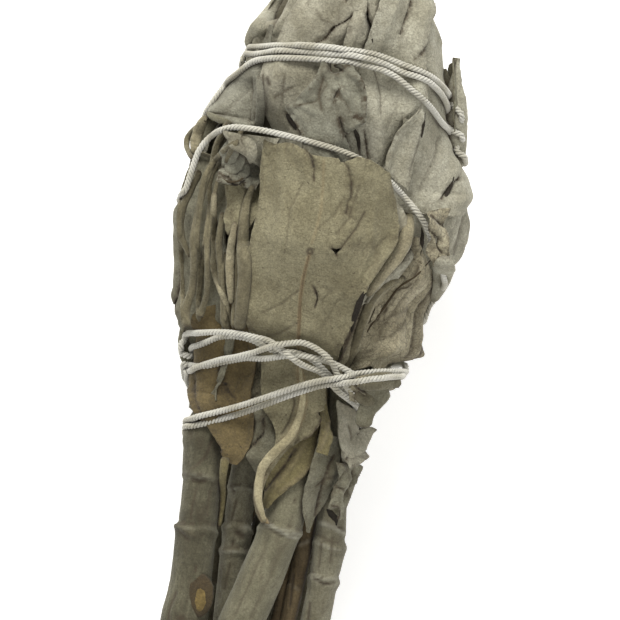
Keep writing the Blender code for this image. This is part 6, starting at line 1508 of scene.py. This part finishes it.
# Deep gaps between the leaves, where no light gets in: thin near-black strands lying at the foot of each gap, a
# painted shadow of their depth.
GAP_SHADOW = plant_look("painted_gap_shadow", (0.034, 0.028, 0.02), (0.018, 0.015, 0.011), brown=(0.012, 0.01, 0.008), sheen=0.0,
                 Net=0.0)
for name, widths, line in [
        ("gap_front_right", (0.4, 1.0, 0.9, 0.3), [(9.7, 5.05), (9.07, 3.4), (8.5, 0.2), (8.5, -2.1)]),
        ("gap_upper_middle", (0.2, 1.1, 0.9, 0.3), [(-8.0, 30.7), (-6.9, 29.6), (-6.1, 28.7), (-5.6, 28)]),
        ("gap_torn_tip", (0.3, 0.8, 0.5, 0.2), [(3, 30.2), (4.05, 28.6), (4.7, 26.6), (5, 25.6)]),
        ("gap_pale_fold", (0.15, 0.8, 0.3), [(14, 34.4), (13.9, 32.6), (14.1, 30.4)]),
        ("gap_pale_wedge", (0.3, 0.9, 0.6, 0.2), [(20.3, 25.2), (20, 24.2), (19.8, 23), (19.3, 20.6)]),
        ("gap_tan_side", (0.2, 0.7, 0.6, 0.3), [(16.3, 16.8), (17, 14.6), (17.1, 13), (17, 11.6)]),
        ("gap_crumple", (0.2, 0.5, 0.5, 0.25), [(-16.3, 18.2), (-15.2, 17.9), (-13.6, 18), (-12.4, 18.9)]),
        ("gap_curl", (0.15, 0.35, 0.15), [(-19.5, 27.5), (-18.4, 27.2), (-17.2, 27.5)]),
        ("gap_top", (0.2, 0.8, 0.5, 0.2), [(1.8, 48.8), (2.5, 47.2), (3.2, 45.6), (3.8, 43.9)]),
        ("gap_stem_scrap", (0.4, 1.3, 1.0, 0.3), [(9.5, -30.7), (10.3, -31.2), (11.1, -32), (11.5, -33)])]:
    lay_strand(name, line, widths, GAP_SHADOW, flat=0.25, sunk=0.35)


# Inner leaves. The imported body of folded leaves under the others, pleated along the stick and held by them and
# the twine. It is seen only down the gaps and at the tips.
# Its solid has rings of corners at these distances along, which turn a little from ring to ring
CORE_SIDES, CORE_ROWS = 32, np.r_[np.linspace(-3.5, 44, 13), 48, 52, 55.5]
CORE_TWIST, TWIST_FROM = 0.25, 20
CORE_FINER = 6
CORE_N, CORE_M = 120, CORE_SIDES * CORE_FINER
PLEATS = 0.9
angle, along, radius = on_stick(read_node("inner_leaves")[0])
rings = []
for y in CORE_ROWS:
    own = np.flatnonzero(np.abs(along - y) < 0.02)
    own = own[np.argsort(np.mod(angle[own] - CORE_TWIST * (y - TWIST_FROM) + 2, 360))]
    rings.append(radius[own])
wrapped = np.array([np.r_[q[-2:], q, q[:3]] for q in rings])
fine = finer(wrapped, CORE_N, (CORE_SIDES + 4) * CORE_FINER + 1)[:, 2 * CORE_FINER:2 * CORE_FINER + CORE_M]
fine_y = np.interp(np.linspace(0, len(CORE_ROWS) - 1, CORE_N), np.arange(len(CORE_ROWS)), CORE_ROWS)
fine_y = fine_y[:, None] + 0 * fine
fine_a = np.arange(CORE_M)[None] * 360 / CORE_M + CORE_TWIST * (fine_y - TWIST_FROM)
flat = place(fine_a, fine_y, fine)
fine = fine - INNER_IN - PLEATS * np.abs(rough(flat * (1, 0.2, 1), 2.2, 5, 3)) - BITE * press(fine_a, fine_y)
points = place(fine_a, fine_y, np.maximum(fine, 1.0)).reshape(-1, 3)
faces = [tuple(f) for f in tube_faces(CORE_N, CORE_M)]
faces += [tuple(range(CORE_M - 1, -1, -1)), tuple(range((CORE_N - 1) * CORE_M, CORE_N * CORE_M))]
# The inner felt is darker than the outer leaves and browned all over, painted shade for how deep it lies down the
# gaps.
marks = np.zeros((len(points), 3))
marks[:, 1] = 0.35
core = new_piece("inner_leaves_pleats", points, faces,
                 plant_look("inner_felt_painted_shade", (0.13, 0.12, 0.08), (0.08, 0.072, 0.045), sheen=0.05), marks)
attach(core, "root")
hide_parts("inner_leaves")

# Twine. Three soft cotton strands twisted together, off-white and a little woolly, wound taut round the leaves
# and over itself. Every strand is a tube that winds round the route.
PLY_RADIUS, PLY_OUT, PITCH, PLY_SIDES = 0.24, 0.3, 1.9, 7
STRAND = PLY_RADIUS + PLY_OUT
# Turns side by side lie this far apart, and are drawn together from this far
SNUG = 2 * STRAND - 0.08
DRAWN_TOGETHER = 2.4
# Places this many steps on along the route belong to another turn, and are looked for this near
OTHER_TURN, NEAR_TURN = 40, 3.4
NONE_NEAR = 99.0
# Turns lie side by side where their ways have this much in common and go along the stick by no more than this
ALIKE, ALONG_IT = 0.975, 0.75


def calm_line(values, times):
    """The values along the twine with every one averaged with those beside it, again and again."""
    for _ in range(times):
        pad = np.pad(values, [(1, 1)] + [(0, 0)] * (values.ndim - 1), mode="edge")
        values = (pad[:-2] + 2 * pad[1:-1] + pad[2:]) / 4
    return values


def other_turns(spot):
    """For each place the places of the other turns near it, as (its number, their number, distance)."""
    found = []
    batch = 500
    for low in range(0, len(spot), batch):
        here = np.arange(low, min(low + batch, len(spot)))
        away = np.linalg.norm(spot[here][:, None] - spot[None], axis=2)
        away[np.abs(here[:, None] - np.arange(len(spot))[None]) < OTHER_TURN] = NONE_NEAR
        a, b = np.nonzero(away < NEAR_TURN)
        found.append((here[a], b, away[a, b]))
    return (np.concatenate(q) for q in zip(*found))


angle, along, radius = on_stick(route)
way = np.gradient(route, axis=0)
way /= np.linalg.norm(way, axis=1)[:, None]
for _ in range(4):
    # Turns that run side by side lie against each other
    one, two, gap = other_turns(place(angle, along, calm_line(radius, 30)))
    level = (np.abs((way[one] * way[two]).sum(1)) > ALIKE) & (np.abs(way[one][:, 1]) < ALONG_IT)
    one, two, gap = one[level], two[level], gap[level]
    across = along[two] - along[one]
    pull = np.zeros(len(angle))
    for side in (-1, 1):
        own = (np.sign(across) == side) & (gap < DRAWN_TOGETHER)
        nearest = np.full(len(angle), NONE_NEAR)
        np.minimum.at(nearest, one[own], gap[own])
        share = np.clip((DRAWN_TOGETHER - nearest) / 0.5, 0, 1)
        pull += side * share * np.clip(nearest - SNUG, -0.6, 1.2) * 0.5 * (nearest < NONE_NEAR)
    along = along + calm_line(pull, 60) * 0.8

# The twine lies on the visible leaves, taut over their hollows, and rides over the turns that it crosses
laid = pieces_so_far(False)
# Degrees to each side that the twine's own width takes up
HALF_TWINE = 2.3
# It follows hollows down to this far under its route, and is hidden where its route lies this far under the leaves
INTO_HOLLOWS, HIDDEN = 3.0, 0.9
drawn_x = radius * np.sin(np.radians(angle))
facing_us = np.clip(np.cos(np.radians(angle)) / 0.35, 0, 1)
turned = angle.copy()
for _ in range(3):
    under_it = np.full(len(angle), 1.0)
    for k in range(len(angle)):
        for aside in (-HALF_TWINE, 0.0, HALF_TWINE):
            start = place(turned[k] + aside, along[k], FAR)
            way_in = place(turned[k] + aside, along[k], FAR - 1) - start
            hit = laid.ray_cast(Vector(start), Vector(way_in))
            if hit[0] is not None:
                under_it[k] = max(under_it[k], FAR - hit[3])
    seat = np.maximum(under_it, radius - INTO_HOLLOWS)
    hidden = radius < under_it - HIDDEN
    seat = np.where(hidden, radius - 0.4, seat) + STRAND - 0.12
    taut = calm_line(seat, 6)
    for _ in range(60):
        taut = np.where(hidden, seat, np.maximum(calm_line(taut, 2), seat - 0.3))
    rest_at = calm_line(taut, 8)
    wanted = np.degrees(np.arcsin(np.clip(drawn_x / rest_at, -1, 1)))
    wanted = np.where(np.cos(np.radians(angle)) > 0, wanted, angle)
    off = (wanted - angle + 180) % 360 - 180
    turned = angle + calm_line(off * facing_us, 12)
angle = turned
one, two, _ = other_turns(place(angle, along, radius))
gap = np.hypot(np.radians((angle[one] - angle[two] + 180) % 360 - 180) * rest_at[one], along[one] - along[two])
near = gap < 2.2 * STRAND
one, two, gap = one[near], two[near], gap[near]
lift = np.zeros(len(angle))
above = radius[one] > radius[two] + 0.25
for _ in range(3):
    wanted = lift.copy()
    room = np.sqrt(np.maximum((2 * STRAND) ** 2 - gap ** 2, 0))
    np.maximum.at(wanted, one[above], (lift[two] + room)[above])
    lift = np.minimum(wanted, 4 * STRAND)
lift = calm_line(np.maximum(lift, 0), 14)
centre = stand_off(calm_line(place(angle, along, rest_at + lift), 3))
out_of_sight = (1 - facing_us)[:, None]
centre = centre * (1 - out_of_sight) + calm_line(centre, 30) * out_of_sight
# It keeps inside the drawn outline, and further in at the right where leaves stand out past it
IN_FROM_RIM = 0.25
TUCKED = [(-19, 0), (-17.5, 1.6), (-12, 1.6), (-10.5, 0)]
on_y = centre[:, 1] - SHIFT_Y
rim_left, rim_right = (table(STAND_OFF, on_y, k) + SHIFT_X for k in (1, 3))
centre[:, 0] = np.clip(centre[:, 0], rim_left + IN_FROM_RIM, rim_right - IN_FROM_RIM - table(TUCKED, on_y))
# The points of the turn that goes over the left edge: it runs straight across there, and nowhere dips down
STRAIGHT_ACROSS, NO_DIP = slice(2541, 2584), slice(2550, 2601)
x, z = centre[STRAIGHT_ACROSS, 0], centre[NO_DIP, 2]
x[:] = np.linspace(x[0], x[-1], len(x))
z[:] = np.maximum(z, np.linspace(z[0], z[-1], len(z)))
centre = calm_line(centre, 2)
path = bpy.data.curves.new("twine_path", "CURVE")
path.dimensions = "3D"
spline = path.splines.new("POLY")
spline.points.add(len(centre) - 1)
spline.points.foreach_set("co", np.c_[centre * 0.001, np.ones(len(centre))].ravel())
path_obj = bpy.data.objects.new("twine_path", path)
bpy.context.scene.collection.objects.link(path_obj)

ply = bpy.data.node_groups.new("twisted_plies", "GeometryNodeTree")
face = ply.interface
face.new_socket("Geometry", in_out="INPUT", socket_type="NodeSocketGeometry")
sockets = {}
for label, value in {"Strand radius": PLY_RADIUS / 1000, "Strand offset": PLY_OUT / 1000, "Pitch": PITCH / 1000,
                     "Step": ROUTE_STEP / 1000}.items():
    made = face.new_socket(label, in_out="INPUT", socket_type="NodeSocketFloat")
    made.default_value = value
    sockets[label] = (made.identifier, value)
made = face.new_socket("Material", in_out="INPUT", socket_type="NodeSocketMaterial")
sockets["Material"] = (made.identifier, None)
face.new_socket("Geometry", in_out="OUTPUT", socket_type="NodeSocketGeometry")
given = ply.nodes.new("NodeGroupInput").outputs
even = add(ply, "GeometryNodeResampleCurve", {"mode": "LENGTH"}, Curve=given["Geometry"], Length=given["Step"])[0]
gone = add(ply, "GeometryNodeSplineParameter")["Length"]
tangent = add(ply, "GeometryNodeInputTangent")[0]
normal = add(ply, "GeometryNodeInputNormal")["Normal"]
other = add(ply, "VectorMath", {"operation": "CROSS_PRODUCT"}, i0=tangent, i1=normal)[0]
phase = times(ply, sums(ply, "DIVIDE", gone, given["Pitch"]), -2 * math.pi)
joined = ply.nodes.new("GeometryNodeJoinGeometry")
for k in range(3):
    turned = sums(ply, "ADD", phase, 2 * math.pi * k / 3)
    outwards, sideways = (
        add(ply, "VectorMath", {"operation": "SCALE"}, i0=vector,
            Scale=times(ply, sums(ply, kind, turned), given["Strand offset"]))[0]
        for vector, kind in ((normal, "COSINE"), (other, "SINE")))
    shift = add(ply, "VectorMath", i0=outwards, i1=sideways)[0]
    strand = add(ply, "GeometryNodeSetPosition", Geometry=even, Offset=shift)[0]
    ring = add(ply, "GeometryNodeCurvePrimitiveCircle", Resolution=PLY_SIDES, Radius=given["Strand radius"])[0]
    tube = add(ply, "GeometryNodeCurveToMesh", Curve=strand, Profile_Curve=ring, Fill_Caps=True)[0]
    ply.links.new(tube, joined.inputs[0])
solid = add(ply, "GeometryNodeRealizeInstances", Geometry=joined.outputs[0])[0]
finished = add(ply, "GeometryNodeSetMaterial", Geometry=solid, Material=given["Material"])[0]
ply.links.new(finished, ply.nodes.new("NodeGroupOutput").inputs[0])

cotton, tree, shader = new_material("cotton_twine", Roughness=0.5, Sheen_Weight=0.3, Sheen_Roughness=0.5)
spot = add(tree, "TexCoord")["Object"]
thread = speckle(tree, spot, 0.16, 3.0, 0.7)
soil = speckle(tree, spot, 6.0, 2.0)
colour = blend_colours(tree, stretch(tree, soil, 0.4, 0.65), (0.53, 0.515, 0.45, 1), (0.375, 0.352, 0.275, 1))
colour = blend_colours(tree, 1.0, colour, stretch(tree, thread, 0.3, 0.7, 0.8, 1.12), "MULTIPLY")
# Painted shade: ambient occlusion darkens the cotton in the grooves between the plies.
groove_shade = add(tree, "AmbientOcclusion", {"samples": 6}, Distance=0.0004)["AO"]
colour = blend_colours(tree, 1.0, colour, stretch(tree, groove_shade, 0.2, 0.85, 0.35, 1.0), "MULTIPLY")
tree.links.new(colour, shader.inputs["Base Color"])
relief = add(tree, "Bump", Strength=0.7, Distance=0.0001, Height=thread)[0]
tree.links.new(relief, shader.inputs["Normal"])

modifier = path_obj.modifiers.new("plies", "NODES")
modifier.node_group = ply
for label, (identifier, value) in sockets.items():
    modifier[identifier] = cotton if label == "Material" else value
bpy.context.view_layer.update()
graph = bpy.context.evaluated_depsgraph_get()
twine_mesh = bpy.data.meshes.new_from_object(path_obj.evaluated_get(graph))
path_obj.modifiers.remove(modifier)
bpy.data.objects.remove(path_obj, do_unlink=True)
twine = bpy.data.objects.new("cotton_twine", twine_mesh)
bpy.context.scene.collection.objects.link(twine)
twine_mesh.materials.clear()
twine_mesh.materials.append(cotton)
twine_mesh.polygons.foreach_set("material_index", np.zeros(len(twine_mesh.polygons), np.int32))
twine_mesh.polygons.foreach_set("use_smooth", np.ones(len(twine_mesh.polygons), bool))
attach(twine, "root")
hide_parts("twine")

# Stage. A plain near-white paper floor, bright enough to show no edge of its own, under soft studio light that
# comes mostly from the tip end.
HALF_FLOOR = 1.5
floor_mesh = bpy.data.meshes.new("floor")
floor_mesh.from_pydata([(HALF_FLOOR * x, HALF_FLOOR * y, 0) for x, y in ((-1, -1), (1, -1), (1, 1), (-1, 1))], [],
                       [(0, 1, 2, 3)])
floor = bpy.data.objects.new("floor", floor_mesh)
bpy.context.scene.collection.objects.link(floor)
paper, _, _ = new_material("pale_paper", Base_Color=(0.92, 0.92, 0.91, 1), Roughness=0.9,
                           Emission_Color=(1, 1, 1, 1), Emission_Strength=0.42)
floor_mesh.materials.append(paper)

world = bpy.data.worlds.new("studio")
world.use_nodes = True
world.node_tree.nodes["Background"].inputs["Color"].default_value = (1.0, 0.99, 0.97, 1)
world.node_tree.nodes["Background"].inputs["Strength"].default_value = 0.55
bpy.context.scene.world = world


def soft_light(name, place_at, aim, size, watts, colour=(1, 1, 1)):
    """Square soft light at a place in metres, turned towards its aim."""
    lamp = bpy.data.lights.new(name, "AREA")
    lamp.size, lamp.energy, lamp.color = size, watts, colour
    obj = bpy.data.objects.new(name, lamp)
    obj.location = place_at
    obj.rotation_euler = (Vector(aim) - Vector(place_at)).to_track_quat("-Z", "Y").to_euler()
    bpy.context.scene.collection.objects.link(obj)


soft_light("key", (-0.25, 0.75, 0.65), (0, 0, 0.02), 0.45, 12, (1.0, 0.99, 0.95))
soft_light("fill", (0.5, -0.5, 0.8), (0, 0, 0.02), 0.8, 4)

# The picture: the stick from straight above, leaning, with a long lens that is set for this height
PICTURE_LEAN = math.radians(10)
PICTURE_CENTRE = (1.84, 1.94, 20.0)
PICTURE_WIDTH = 99.2
CAMERA_AWAY = 4000.0
SENSOR = 36
lens = bpy.data.cameras.new("camera")
lens.sensor_width = SENSOR
lens.lens = SENSOR * CAMERA_AWAY / PICTURE_WIDTH
lens.clip_start, lens.clip_end = 0.01, 10
camera = bpy.data.objects.new("camera", lens)
camera.location = (PICTURE_CENTRE[0] / 1000, PICTURE_CENTRE[1] / 1000, (CAMERA_AWAY + PICTURE_CENTRE[2]) / 1000)
camera.rotation_euler = (0, 0, PICTURE_LEAN)
bpy.context.scene.collection.objects.link(camera)
bpy.context.scene.camera = camera
bpy.context.scene.view_settings.view_transform = "Standard"
